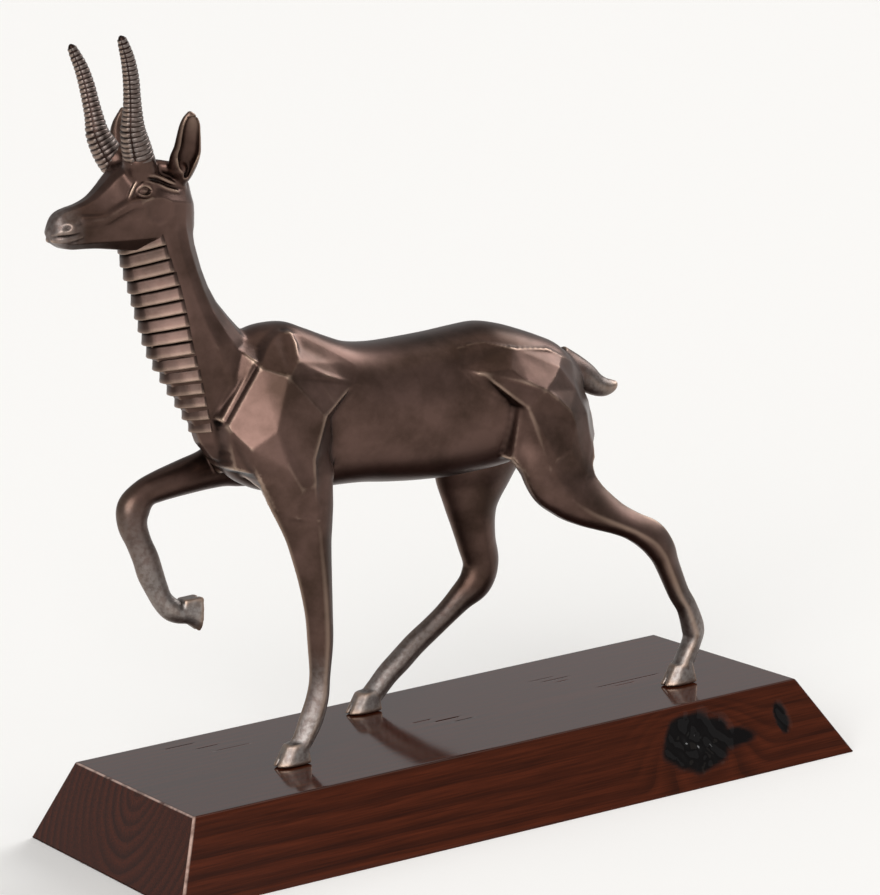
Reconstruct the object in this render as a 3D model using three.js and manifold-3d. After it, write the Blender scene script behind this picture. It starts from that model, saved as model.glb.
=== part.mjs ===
// Striding antelope figurine, cast in bronze, on a lacquered plinth sawn from one plank.
// Millimetres, +Z up. The origin is the middle of the plinth's underside, the animal faces -X
// and its left flank is towards -Y.

import * as THREE from 'three';
import { ConvexGeometry } from 'three/addons/geometries/ConvexGeometry.js';
import { mergeVertices } from 'three/addons/utils/BufferGeometryUtils.js';
import Module from 'manifold-3d';

const wasm = await Module();
wasm.setup();

// Driving dimensions
const plinthLength = 420;
const plinthWidth = 192;
const plinthHeight = 43;
const plinthEndLean = 22;
const plinthSideLean = 21;
const seatGap = 0.3;
const figureHeight = 401.5;
const figureSetback = 6;
const ringCount = 31;
const slatCount = 15;

// The free form is written at this height, hoof soles to horn tips, and grows with figureHeight
const drawnHeight = 401.5;
const grow = figureHeight / drawnHeight;

const vec = (x, y, z) => new THREE.Vector3(x, y, z);

// A solid from a closed mesh, turned right side out where it was wound inwards
function solidOf(geometry) {
  const bare = geometry.index ? geometry.clone() : geometry;
  bare.deleteAttribute('normal');
  bare.deleteAttribute('uv');
  const merged = mergeVertices(bare, 1e-4);
  const positions = merged.attributes.position.array;
  const faces = Uint32Array.from(merged.index.array);
  const corner = (i) => vec().fromArray(positions, 3 * faces[i]);
  let volume = 0;
  for (let i = 0; i < faces.length; i += 3) {
    volume += corner(i).dot(corner(i + 1).cross(corner(i + 2)));
  }
  if (volume < 0) faces.reverse();
  const mesh = new wasm.Mesh({
    numProp: 3,
    vertProperties: Float32Array.from(positions),
    triVerts: faces,
  });
  return new wasm.Manifold(mesh);
}

function geometryOf(solid) {
  const mesh = solid.getMesh();
  const geometry = new THREE.BufferGeometry();
  geometry.setAttribute('position', new THREE.BufferAttribute(mesh.vertProperties, 3));
  geometry.setIndex(new THREE.BufferAttribute(mesh.triVerts, 1));
  geometry.computeVertexNormals();
  return geometry;
}

const joined = (solids) => solids.reduce((whole, next) => whole.add(next));

// Skin over a row of rings, each a list of points in the same order, closed flat at both ends
function skinOver(rings) {
  const sides = rings[0].length;
  const points = rings.flat();
  const faces = [];
  for (let r = 0; r + 1 < rings.length; r += 1) {
    for (let s = 0; s < sides; s += 1) {
      const a = r * sides + s;
      const b = r * sides + ((s + 1) % sides);
      faces.push(a, b, a + sides, b, b + sides, a + sides);
    }
  }
  for (const [ring, turn] of [[0, 1], [rings.length - 1, -1]]) {
    const middle = rings[ring].reduce((sum, p) => sum.add(p), vec(0, 0, 0));
    points.push(middle.divideScalar(sides));
    for (let s = 0; s < sides; s += 1) {
      const a = ring * sides + s;
      const b = ring * sides + ((s + 1) % sides);
      faces.push(points.length - 1, turn > 0 ? b : a, turn > 0 ? a : b);
    }
  }
  const geometry = new THREE.BufferGeometry().setFromPoints(points);
  geometry.setIndex(faces);
  return solidOf(geometry);
}

// Stations [x, y, z, fore, side] with `extra` eased ones between each pair
function eased(stations, extra) {
  const places = new THREE.CatmullRomCurve3(stations.map((s) => vec(s[0], s[1], s[2])));
  const sizes = new THREE.CatmullRomCurve3(stations.map((s) => vec(s[3], s[4], 0)));
  const count = (stations.length - 1) * (extra + 1);
  const out = [];
  for (let i = 0; i <= count; i += 1) {
    out.push({ place: places.getPoint(i / count), size: sizes.getPoint(i / count) });
  }
  return out;
}

// A limb along its stations. Its section has a ridge in front, behind and on each side,
// and `fullness` says how far the faces between them swell: 0.5 is flat and 0.71 round.
// `skew` moves the side ridges back where the limb is deeper than it is wide.
function limb(stations, { sides = 8, fullness = 0.63, extra = 0, skew = 0 } = {}) {
  const row = eased(stations, extra);
  const power = Math.log(fullness) / Math.log(Math.SQRT1_2);
  const swell = (t) => Math.sign(t) * Math.abs(t) ** power;
  const rings = row.map(({ place, size }, i) => {
    const before = row[Math.max(0, i - 1)].place;
    const after = row[Math.min(row.length - 1, i + 1)].place;
    const along = after.clone().sub(before).normalize();
    const fore = vec(0, 1, 0).cross(along).normalize();
    const side = fore.clone().cross(along);
    const ring = [];
    for (let s = 0; s < sides; s += 1) {
      const turn = (2 * Math.PI * s) / sides;
      const back = skew * Math.max(0, size.x - size.y) * Math.abs(Math.sin(turn));
      ring.push(place.clone()
        .addScaledVector(fore, size.x * swell(Math.cos(turn)) - back)
        .addScaledVector(side, size.y * swell(Math.sin(turn))));
    }
    return ring;
  });
  return skinOver(rings);
}

const hull = (points) => solidOf(new ConvexGeometry(points.map((p) => vec(...p))));

// Trunk: [x, top, underside, half width, share of the height where it is widest]
const trunkStations = [
  [-119, 196, 172, 9, 0.5],
  [-112, 214, 158, 17, 0.5],
  [-102, 229, 150, 24, 0.5],
  [-90, 235.5, 145, 27, 0.5],
  [-72, 235.5, 142.5, 29, 0.5],
  [-60, 230.5, 142, 30, 0.5],
  [-47, 224, 141.5, 30.5, 0.5],
  [-34, 218.5, 140.5, 31, 0.5],
  [-18, 216, 138, 31, 0.5],
  [0, 215.7, 135.8, 30.5, 0.5],
  [18, 216, 134.5, 29, 0.5],
  [34, 216.8, 134.5, 28, 0.52],
  [48, 217, 136, 28, 0.54],
  [60, 214.2, 139, 28, 0.55],
  [72, 209.5, 144, 27, 0.56],
  [84, 204, 150, 25, 0.57],
  [94, 198.5, 156, 22, 0.58],
  [103, 190, 162, 17, 0.55],
  [109.5, 183, 168, 10, 0.5],
];

const trunkHalfSides = 9;
const flankFullness = 0.86;
const backFullness = 0.9;

function trunk() {
  const rings = trunkStations.map(([x, top, under, wide, waist]) => {
    const ring = [];
    for (let s = 0; s < 2 * trunkHalfSides; s += 1) {
      const turn = (Math.PI * s) / trunkHalfSides;
      const up = Math.cos(turn);
      const middle = under + (top - under) * waist;
      const reach = up > 0 ? top - middle : middle - under;
      const out = Math.sign(Math.sin(turn)) * Math.abs(Math.sin(turn)) ** flankFullness;
      const rise = Math.sign(up) * Math.abs(up) ** backFullness;
      ring.push(vec(x, -wide * out, middle + reach * rise));
    }
    return ring;
  });
  return skinOver(rings);
}

// Planed masses: a side outline [x, z], the corners of the facets on the left side [x, y, z],
// and the three corners that each facet's plane runs through
const shoulder = {
  heart: [-82, -18, 180],
  outline: [
    [-72, 230.5], [-85, 229], [-99, 219], [-117, 193], [-121, 180], [-119, 168], [-112, 157],
    [-105, 150], [-66, 146], [-61, 160], [-51, 184], [-42, 203], [-46, 214], [-58, 224],
  ],
  corners: {
    withers: [-71.9, -9, 229.8],
    bladeFront: [-96.1, -22, 216.6],
    bladePeak: [-85.5, -34.5, 209.8],
    bladeRear: [-77.7, -31, 213],
    point: [-117.8, -21, 187],
    pointLow: [-111.6, -31, 174.7],
    elbow: [-96.1, -36.5, 184.2],
    ribPeak: [-69.7, -36, 187.3],
    rearTip: [-43.8, -30, 202],
    rearFold: [-61, -33.5, 183],
    rearDeep: [-56, -14, 181],
    armSide: [-76.7, -38.5, 153.7],
    armFront: [-88.5, -38.5, 150.3],
    armRear: [-64.7, -30, 149],
    armEdge: [-108.2, -29, 163.5],
    armInner: [-106, -22, 152],
  },
  facets: [
    ['bladeFront', 'bladePeak', 'withers'],
    ['bladePeak', 'point', 'elbow'],
    ['bladePeak', 'elbow', 'ribPeak'],
    ['pointLow', 'elbow', 'armFront'],
    ['bladePeak', 'ribPeak', 'rearTip'],
    ['bladeRear', 'rearTip', 'withers'],
    ['pointLow', 'armEdge', 'armInner'],
    ['rearTip', 'rearFold', 'rearDeep'],
    ['ribPeak', 'armSide', 'armRear'],
  ],
};

const hipBone = {
  heart: [60, -18, 188],
  outline: [
    [29, 197], [44, 205], [60, 208], [76, 205], [89, 198.5], [84, 184], [64, 166], [52, 168],
    [30, 190],
  ],
  corners: {
    hip: [56, -20, 203.7],
    hipRear: [89.1, -17, 195.9],
    hipMid: [58.6, -36, 184.5],
    hipFront: [48.9, -30.5, 195.5],
    loin: [33.9, -30.5, 194],
    loinTop: [36, -21, 204],
    notch: [50.8, -34.5, 173.3],
    creaseDeep: [46, -20, 176],
    thighTop: [56.5, -37.5, 171.6],
  },
  facets: [
    ['hip', 'hipRear', 'hipMid'],
    ['hip', 'hipFront', 'loinTop'],
    ['loin', 'hipFront', 'notch'],
    ['hipFront', 'hipMid', 'thighTop'],
    ['loin', 'notch', 'creaseDeep'],
  ],
};

const thigh = {
  heart: [76, -18, 160],
  outline: [
    [47, 190], [56, 205], [70, 206.5], [80, 203], [90, 199], [100, 189], [108, 174],
    [111, 160], [110.5, 148], [104, 136], [94, 124], [62, 124], [46, 140], [45, 160],
  ],
  corners: {
    hip: [56, -20, 203.7],
    hipRear: [89.1, -17, 195.9],
    hipMid: [58.6, -36, 184.5],
    diamondPeak: [66.3, -38, 178],
    diamondTop: [56.5, -37.5, 171.6],
    diamondRear: [80.4, -38.5, 160.5],
    diamondFoot: [69.8, -41, 134.6],
    rearTop: [77.3, -32, 185.4],
    rearMid: [82.3, -39, 149],
    seat: [104.1, -22, 165.8],
    seatLow: [107.4, -22, 145.4],
    seatBack: [110.5, -4, 162],
    dock: [99.5, -16, 182.9],
    spine: [80, -2, 206],
    foldFront: [47, -33, 141.8],
    heel: [96, -33, 124],
  },
  facets: [
    ['hip', 'hipRear', 'hipMid'],
    ['diamondPeak', 'diamondTop', 'hipMid'],
    ['diamondTop', 'diamondRear', 'diamondFoot'],
    ['rearTop', 'diamondRear', 'seat'],
    ['diamondTop', 'diamondFoot', 'foldFront'],
    ['hipRear', 'dock', 'spine'],
    ['seat', 'seatLow', 'seatBack'],
    ['seatLow', 'rearMid', 'heel'],
  ],
};
const massInner = -3;
const massOuter = -60;

// The block cut to the outline, that all the facets' planes leave standing round its heart
function planed({ heart, outline, corners, facets }, side = 1, shape = (p) => p) {
  const place = ([x, y, z]) => vec(...shape([x, y * side, z]));
  const middle = place(heart);
  const block = hull(outline.flatMap(([x, z]) => [massInner, massOuter]
    .map((y) => place([x, y, z]).toArray())));
  return facets.reduce((left, facet) => {
    const plane = new THREE.Plane().setFromCoplanarPoints(...facet.map((c) => place(corners[c])));
    if (plane.distanceToPoint(middle) < 0) plane.negate();
    return left.trimByPlane(plane.normal.toArray(), -plane.constant);
  }, block);
}

const nearForeleg = [
  [-88, -27, 176, 12, 3.6],
  [-86, -31, 158, 24, 9],
  [-85, -32, 149, 21, 9],
  [-83.5, -32, 137, 17.6, 9.6],
  [-82.5, -32, 127, 14.8, 9.6],
  [-81.8, -31.6, 117, 12.6, 9.2],
  [-80.6, -31.2, 98.8, 10, 8.2],
  [-80.2, -31, 80, 8.2, 7.6],
  [-80.8, -30.6, 64, 7.6, 7.2],
  [-82.6, -30, 46, 6.2, 6],
  [-84, -29.4, 34, 6.6, 6.8],
  [-87.4, -28.6, 22.5, 7, 6.8],
  [-91.6, -28.2, 13, 6.2, 6.2],
  [-95, -28, 8, 6, 6],
];

const raisedForeleg = [
  [-78, 29, 163, 21, 9],
  [-96, 29, 162, 18.5, 9],
  [-110, 28, 160.5, 14.6, 9.4],
  [-125.4, 26.6, 156.6, 11, 9],
  [-140.6, 25, 153.6, 8.8, 8],
  [-150.5, 24.4, 150.6, 8, 7.6],
  [-157.4, 24, 144, 9.6, 8],
  [-159, 23.6, 135.4, 8, 7.2],
  [-157.4, 23, 125.6, 6.8, 6.2],
  [-155, 22.4, 116.2, 7, 6],
  [-153.4, 22, 107.1, 7, 6],
  [-151, 21.6, 98.9, 6.2, 5.6],
  [-147.6, 21, 91.5, 5.4, 5.6],
  [-142, 20.6, 85.4, 6.4, 6.4],
  [-136.6, 20.2, 83, 6.2, 6.2],
  [-131, 20, 81.6, 5.6, 5.6],
];

const farHindLeg = [
  [72, 24, 166, 16, 5],
  [66, 28, 150, 25, 10],
  [62, 31, 136, 26, 12.6],
  [58.4, 36, 121, 22.4, 12.4],
  [55.4, 38, 108, 16.6, 11.6],
  [55, 39, 97.7, 12.8, 10.4],
  [56.4, 40, 84.8, 10.6, 9],
  [58, 40.6, 71.4, 9.6, 8.4],
  [54, 41, 60.8, 9.6, 7.8],
  [45.4, 41.4, 53.2, 9.4, 7],
  [36, 41.8, 46, 8.8, 6.6],
  [26, 42, 39.4, 8.4, 6.4],
  [14.6, 42, 32.4, 8, 6.6],
  [3.6, 42, 24, 7, 6.8],
  [-4.8, 42, 18, 6, 6.4],
  [-11.6, 42, 12, 6.4, 6.4],
  [-16, 42, 8, 6.4, 6.4],
];

const nearHindLeg = [
  [78, -24, 166, 16, 4],
  [75, -29, 146, 24, 9.6],
  [77, -32, 130, 22.6, 12],
  [82, -34.6, 119.6, 17.6, 12.8],
  [89.4, -36.4, 111.8, 13.8, 12],
  [98.6, -38, 105, 10.8, 10.4],
  [107, -38.8, 99.6, 8.8, 9],
  [115.6, -39.4, 94.4, 8.2, 8.2],
  [126, -40, 87, 9.2, 7.8],
  [132.4, -40.2, 78, 8.6, 7.2],
  [135.6, -40.4, 68.5, 7.2, 6.6],
  [141, -40.8, 52, 6.4, 6.2],
  [145.6, -41, 42.4, 6.2, 6.2],
  [148.8, -41, 29.6, 6.6, 6.8],
  [147.6, -40.8, 22.7, 5.8, 6.4],
  [143.8, -40.4, 15.5, 6, 6.2],
  [140.4, -40.2, 9, 6.2, 6.4],
];

const tail = [
  [98, 0, 187, 9, 8],
  [108, 0, 180.5, 8.2, 7.4],
  [115, 0, 174.5, 8, 6.8],
  [121, 0, 169.5, 6.6, 6],
  [127, 0, 167, 5.4, 5],
  [132, 0, 167.2, 3.8, 3.6],
  [135, 0, 168.4, 1.6, 1.6],
];

// A cloven hoof on its sole: two toes side by side. The corners of the left toe run from the
// heel at x = 0, sole first; the two toes meet in a narrow cleft.
const hoofLength = 20;
const toeCorners = [
  [0, 0.8, 0], [0, 6.2, 0], [-9, 7.5, 0], [-hoofLength, 3.9, 0], [-hoofLength, 0.8, 0],
  [-1.5, -0.2, 11.5], [-1.5, 5.4, 11.5], [-8.4, 5.9, 11.5], [-12, 3, 11.5], [-12, -0.2, 11.5],
];
const standingHooves = [
  [-89.5, -28],
  [-10.5, 42],
  [145.5, -40],
];
const raisedHoofPlace = [-125, 20, 80.5];
const raisedHoofTurn = THREE.MathUtils.degToRad(-82);

function hoofAt(heelX, middleY) {
  return joined([-1, 1].map((side) => hull(
    toeCorners.map(([x, y, z]) => [heelX + x, middleY + side * y, z]),
  )));
}

function raisedHoof() {
  const turned = new THREE.Matrix4().makeRotationY(raisedHoofTurn);
  turned.setPosition(...raisedHoofPlace);
  return hoofAt(hoofLength / 2, 0).transform(turned.toArray());
}

// Neck as level slices: [height, front, back, half width, reach and half width of the slats]
const neckSlices = [
  [296, -158, -123, 15, 18, 14.6],
  [288, -159.6, -121, 15.6, 19, 15.2],
  [278, -159, -121, 16, 20, 15.6],
  [266, -157.2, -117.6, 16.6, 20.5, 16.2],
  [256, -155.4, -113.6, 17.2, 20.5, 16.6],
  [247, -153.8, -109.4, 18, 20, 16.8],
  [238, -152, -103, 19, 19, 16.8],
  [228, -149.4, -95, 20.2, 17.6, 16.4],
  [218, -144.8, -88, 21.4, 15.6, 15.4],
  [208, -140.2, -82, 22.6, 12.8, 13.8],
  [198, -135.2, -78, 23.4, 9.8, 12],
  [188, -131, -78, 23.2, 7.4, 10.4],
  [178, -128.6, -80, 21, 6, 9],
  [168, -121.6, -84, 16, 5, 7],
];
const slatTop = 292;
const slatBottom = 184;
const slatStep = 1.5;
const slatTiltTop = 0.2;
const throatFlat = 3.8;
const slatLip = 0.6;

function alongTable(table, z) {
  const next = Math.max(1, table.findIndex((row) => row[0] <= z));
  const [upper, lower] = [table[next - 1], table[next]];
  const share = (upper[0] - z) / (upper[0] - lower[0]);
  return upper.map((value, i) => value + (lower[i] - value) * share);
}

function neckRing(z, proud) {
  const [, front, back, wide, reach, band] = alongTable(neckSlices, z);
  const tilt = slatTiltTop * THREE.MathUtils.clamp((z - slatBottom) / (slatTop - slatBottom), 0, 1);
  const rest = back - front - reach;
  const half = [
    [front - proud, throatFlat],
    [front + reach * 0.5 - proud * 0.5, throatFlat + (band - throatFlat) * 0.6 + proud],
    [front + reach - proud * 0.3, band + proud],
    [front + reach + slatLip, band],
    [front + reach + rest * 0.34, band + (wide - band) * 0.9],
    [front + reach + rest * 0.62, wide * 0.88],
    [front + reach + rest * 0.88, wide * 0.5],
    [back, wide * 0.14],
  ];
  const place = ([x, y]) => vec(x, y, z + (x - front) * tilt);
  return [...half.map(([x, y]) => place([x, -y])), ...half.reverse().map(place)];
}

function neck() {
  const rings = [neckRing(slatTop + 5, 0)];
  const pitch = (slatTop - slatBottom) / slatCount;
  for (let i = 0; i < slatCount; i += 1) {
    const proud = slatStep * Math.min(1, (slatCount - i) / 4);
    rings.push(neckRing(slatTop - i * pitch, 0.1 * proud));
    rings.push(neckRing(slatTop - (i + 0.92) * pitch, proud));
  }
  rings.push(neckRing(slatBottom - 0.5, 0));
  rings.push(neckRing(slatBottom - 8, 0));
  rings.push(neckRing(slatBottom - 15.5, -2));
  return skinOver(rings);
}

// Head, in its own frame: [forward of the nape, crown, underside, half width,
// height of the cheek ridge, half width of the bridge of the nose]
const headTurn = THREE.MathUtils.degToRad(8);
const headFoot = vec(-135, 0, 0);
const headSlices = [
  [-17, 316, 292, 7, 306, 4],
  [-12, 324, 288, 13, 307, 7],
  [-4, 330, 287, 16.4, 309, 9],
  [5, 333, 286.5, 18.2, 311, 10],
  [14, 334.2, 286.3, 18.2, 312, 10.5],
  [22, 333, 286.8, 16.8, 312, 10],
  [29, 330, 287.8, 14.6, 311, 8.6],
  [36, 324, 289.4, 12.8, 309, 7.2],
  [43.6, 317.4, 291, 11.4, 307.4, 6.2],
  [51, 313.8, 292, 10.6, 306, 5.6],
  [57.6, 312, 293, 10, 305, 5.4],
  [62.6, 309.4, 295, 8.8, 304, 4.8],
  [66, 305.6, 297.6, 6.6, 302.5, 3.6],
  [67.4, 303, 300, 3.2, 301.8, 1.8],
];

function inHead([forward, left, up]) {
  return vec(-forward, -left, up).applyAxisAngle(vec(0, 0, 1), headTurn).add(headFoot);
}

function head() {
  const rings = headSlices.map(([forward, crown, under, wide, ridge, bridge]) => {
    const half = [
      [bridge * 0.45, crown],
      [bridge, crown - (crown - ridge) * 0.16],
      [wide * 0.9, ridge + (crown - ridge) * 0.36],
      [wide, ridge],
      [wide * 0.86, ridge - (ridge - under) * 0.5],
      [wide * 0.5, under + (ridge - under) * 0.1],
      [wide * 0.18, under],
    ];
    const across = ([left, up]) => inHead([forward, left, up]);
    return [...half.map(across), ...half.reverse().map(([l, u]) => across([-l, u]))];
  });
  return skinOver(rings);
}

// Lids round each eye, standing a little proud of the cheek, and the ball between them
const lidCorners = [
  [29, 13, 319], [23, 16, 323], [15.5, 17.4, 322.6], [9.5, 17.6, 317.5],
  [15, 18, 313.6], [22, 17, 312.8], [28, 14.4, 315.6], [18, 8, 318],
];
const eyeCentre = [20.5, 14.8, 317.8];
const eyeRadius = 4.3;

function eyeOn(side) {
  const onSide = ([forward, left, up]) => inHead([forward, side * left, up]).toArray();
  const ball = new THREE.SphereGeometry(eyeRadius, 8, 6);
  return joined([hull(lidCorners.map(onSide)), solidOf(ball.translate(...onSide(eyeCentre)))]);
}

// Leaf-shaped ears: [forward, left, up, half width, half thickness], hollowed from the front
const earStations = [
  [-6, 11, 313, 4, 4.4],
  [-10, 15.5, 322, 5, 5],
  [-7.4, 20, 329, 6.6, 5.2],
  [-5.2, 24, 336, 7.4, 5],
  [-4.6, 27, 344, 6, 4.2],
  [-4, 29, 351, 4, 3],
  [-3, 30, 357, 1, 0.8],
];
const earSides = 10;
const earYaw = THREE.MathUtils.degToRad(25);
const earRim = 2;

function leaf(rows, side) {
  return skinOver(rows.map(([forward, left, up, wide, thick]) => {
    const ring = [];
    for (let s = 0; s < earSides; s += 1) {
      const turn = (2 * Math.PI * s) / earSides;
      const [across, out] = [wide * Math.cos(turn), thick * Math.sin(turn)];
      ring.push(inHead([
        forward + across * Math.cos(earYaw) + out * Math.sin(earYaw),
        side * (left + out * Math.cos(earYaw) - across * Math.sin(earYaw)),
        up,
      ]));
    }
    return ring;
  }));
}

function earOn(side) {
  const hollow = earStations.slice(1, -1).map(([forward, left, up, wide, thick]) => {
    const [aheadOf, besides] = [thick * 0.38, thick * 0.8];
    return [forward + aheadOf, left + besides, up, Math.max(0.6, wide - earRim), thick];
  });
  return leaf(earStations, side).subtract(leaf(hollow, side));
}

// Horns: ringed along most of their length, leaning back and hooked forward at the tip
const hornStations = [
  [15.5, 10.5, 322, 8.8, 7.6],
  [17.7, 12, 334, 8.6, 7.4],
  [19.8, 12.6, 343, 7.8, 7],
  [21, 13.4, 351, 6.6, 6.2],
  [20.8, 14.4, 360, 5.1, 5.1],
  [20.8, 15.4, 368, 4.4, 4.4],
  [21.2, 16.8, 378, 4, 4],
  [22.6, 18, 387.5, 3.5, 3.5],
  [25, 19, 394.5, 2.5, 2.5],
  [26.4, 19.6, 401.5, 1, 1],
];
const hornRingStart = 0.13;
const hornRingEnd = 0.93;
const hornRingDepth = 0.55;
const hornSides = 8;

// The right horn stands a little ahead of the left one and lower, at its root and at its tip
const rightHornAhead = [3, 8];
const rightHornDrop = [3.6, 5];

function hornOn(side) {
  const root = hornStations[0][2];
  const rise = hornStations.at(-1)[2] - root;
  const stations = hornStations.map(([forward, left, up, fore, across]) => {
    const shift = ([low, high]) => (side > 0 ? 0 : low + ((high - low) * (up - root)) / rise);
    const where = [forward + shift(rightHornAhead), side * left, up - shift(rightHornDrop)];
    return [...inHead(where).toArray(), fore, across];
  });
  const steps = 2 * ringCount;
  const marks = [0, 0.06];
  for (let i = 0; i <= steps; i += 1) {
    marks.push(hornRingStart + ((hornRingEnd - hornRingStart) * i) / steps);
  }
  marks.push(0.97, 1);
  const places = new THREE.CatmullRomCurve3(stations.map((s) => vec(s[0], s[1], s[2])));
  const sizes = new THREE.CatmullRomCurve3(stations.map((s) => vec(s[3], s[4], 0)));
  const rings = marks.map((mark, i) => {
    const place = places.getPoint(mark);
    const size = sizes.getPoint(mark);
    const groove = i > 2 && i < marks.length - 3 && i % 2 === 1 ? hornRingDepth : 0;
    const ring = [];
    for (let s = 0; s < hornSides; s += 1) {
      const turn = (2 * Math.PI * s) / hornSides;
      ring.push(place.clone().add(vec(
        -(size.x - groove) * Math.cos(turn),
        (size.y - groove) * Math.sin(turn),
        0,
      )));
    }
    return ring;
  });
  return skinOver(rings);
}

// The right thigh swings forward with its leg, from the hip down
const thighTop = 172;
const thighSwing = 0.3;
const strideForward = ([x, y, z]) => [x - Math.max(0, thighTop - z) * thighSwing, y, z];

function antelope() {
  const sides = [-1, 1];
  return joined([
    trunk(),
    neck(),
    head(),
    planed(shoulder),
    planed(shoulder, -1),
    planed(hipBone),
    planed(hipBone, -1),
    planed(thigh),
    planed(thigh, -1, strideForward),
    limb(nearForeleg, { skew: 0.25 }),
    limb(raisedForeleg),
    limb(farHindLeg),
    limb(nearHindLeg),
    limb(tail),
    ...standingHooves.map((place) => hoofAt(...place)),
    raisedHoof(),
    ...sides.map(eyeOn),
    ...sides.map(earOn),
    ...sides.map(hornOn),
  ]);
}

// Plinth: a plank with all four sides sawn at a slant
function plinth() {
  const corners = [];
  for (const [z, endLean, sideLean] of [[0, 0, 0], [plinthHeight, plinthEndLean, plinthSideLean]]) {
    for (const x of [-1, 1]) {
      for (const y of [-1, 1]) {
        corners.push(vec(x * (plinthLength / 2 - endLean), y * (plinthWidth / 2 - sideLean), z));
      }
    }
  }
  return new ConvexGeometry(corners);
}

const bronze = new THREE.MeshStandardMaterial({ color: 0x5b4638, roughness: 0.38, metalness: 0.95 });
const lacqueredWood = new THREE.MeshStandardMaterial({ color: 0x4a2015, roughness: 0.18, metalness: 0 });

const figureGeometry = geometryOf(antelope());
figureGeometry.scale(grow, grow, grow);
const figureMesh = new THREE.Mesh(figureGeometry, bronze);
figureMesh.name = 'bronze_antelope';
figureMesh.position.set(0, figureSetback, plinthHeight + seatGap);

const plinthMesh = new THREE.Mesh(plinth(), lacqueredWood);
plinthMesh.name = 'wooden_plinth';

const figurine = new THREE.Group();
figurine.add(plinthMesh, figureMesh);

export default figurine;
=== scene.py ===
# Striding antelope figurine: cast bronze on a lacquered plank plinth.
# Forms are worked out in millimetres in the figure's own place: x along the plinth with the
# head at -x, y from the plane of symmetry, z up from the plinth's top.
import copy
import math

import bmesh
import bpy
import numpy as np
import openvdb
from mathutils import Matrix, Vector


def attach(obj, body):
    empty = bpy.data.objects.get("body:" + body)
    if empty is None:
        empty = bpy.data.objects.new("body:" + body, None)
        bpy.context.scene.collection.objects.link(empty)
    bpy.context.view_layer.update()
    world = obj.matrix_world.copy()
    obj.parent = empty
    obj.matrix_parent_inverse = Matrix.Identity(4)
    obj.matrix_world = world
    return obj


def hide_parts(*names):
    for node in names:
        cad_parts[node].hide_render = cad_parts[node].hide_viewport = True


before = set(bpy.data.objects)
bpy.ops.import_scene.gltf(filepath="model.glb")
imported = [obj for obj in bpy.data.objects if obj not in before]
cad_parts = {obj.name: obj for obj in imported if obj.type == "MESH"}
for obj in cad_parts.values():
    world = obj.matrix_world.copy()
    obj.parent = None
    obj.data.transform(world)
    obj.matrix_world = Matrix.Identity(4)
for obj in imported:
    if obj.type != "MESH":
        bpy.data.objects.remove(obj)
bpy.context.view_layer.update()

mm = 0.001
seat = {"setback": 6.0, "plinthTop": 43.0, "gap": 0.3}


def toWorld(points):
    # figure millimetres to the frame's metres
    shift = np.array([0.0, seat["setback"], seat["plinthTop"] + seat["gap"]])
    return (np.asarray(points, float) + shift) * mm


def linear(hexColour):
    parts = [int(hexColour[i:i + 2], 16) / 255 for i in (1, 3, 5)]
    return tuple(c / 12.92 if c <= 0.04045 else ((c + 0.055) / 1.055) ** 2.4 for c in parts) + (1.0,)


def addNode(tree, kind, settings=None, feeds=None):
    # one node, its settings, and for each input a value or the socket that feeds it
    made = tree.nodes.new(kind)
    for name, value in (settings or {}).items():
        setattr(made, name, value)
    for socket, value in (feeds or {}).items():
        if isinstance(value, bpy.types.NodeSocket):
            tree.links.new(value, made.inputs[socket])
        else:
            made.inputs[socket].default_value = value
    return made


def ramped(value, start, end):
    return np.clip((value - start) / (end - start), 0, 1)


def unit(rows):
    return rows / np.linalg.norm(rows, axis=1, keepdims=True)


def meshObject(name, points, faces, edges=()):
    mesh = bpy.data.meshes.new(name)
    mesh.from_pydata(np.asarray(points, float).tolist(), edges, faces)
    mesh.validate()
    made = bpy.data.objects.new(name, mesh)
    bpy.context.collection.objects.link(made)
    return made


def orient(mesh):
    # turns every face outwards
    built = bmesh.new()
    built.from_mesh(mesh)
    bmesh.ops.recalc_face_normals(built, faces=built.faces)
    built.to_mesh(mesh)
    built.free()


def placesOf(mesh):
    places = np.empty(len(mesh.vertices) * 3)
    mesh.vertices.foreach_get("co", places)
    return places.reshape(-1, 3)


def mark(mesh, name, values):
    # keeps one value or one vector for each point on the mesh
    values = np.asarray(values, np.float32)
    kind, field = ("FLOAT_VECTOR", "vector") if values.ndim == 2 else ("FLOAT", "value")
    mesh.attributes.new(name, kind, "POINT").data.foreach_set(field, values.ravel())


# modelling clay: a block of distances that forms are added to and cut from
def softUnion(a, b, soft):
    near = np.maximum(soft - np.abs(a - b), 0)
    return np.minimum(a, b) - near * near / (4 * soft)


def softCut(a, b, soft):
    near = np.maximum(soft - np.abs(a - b), 0)
    return np.maximum(a, b) + near * near / (4 * soft)


bandSteps = 6


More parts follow.
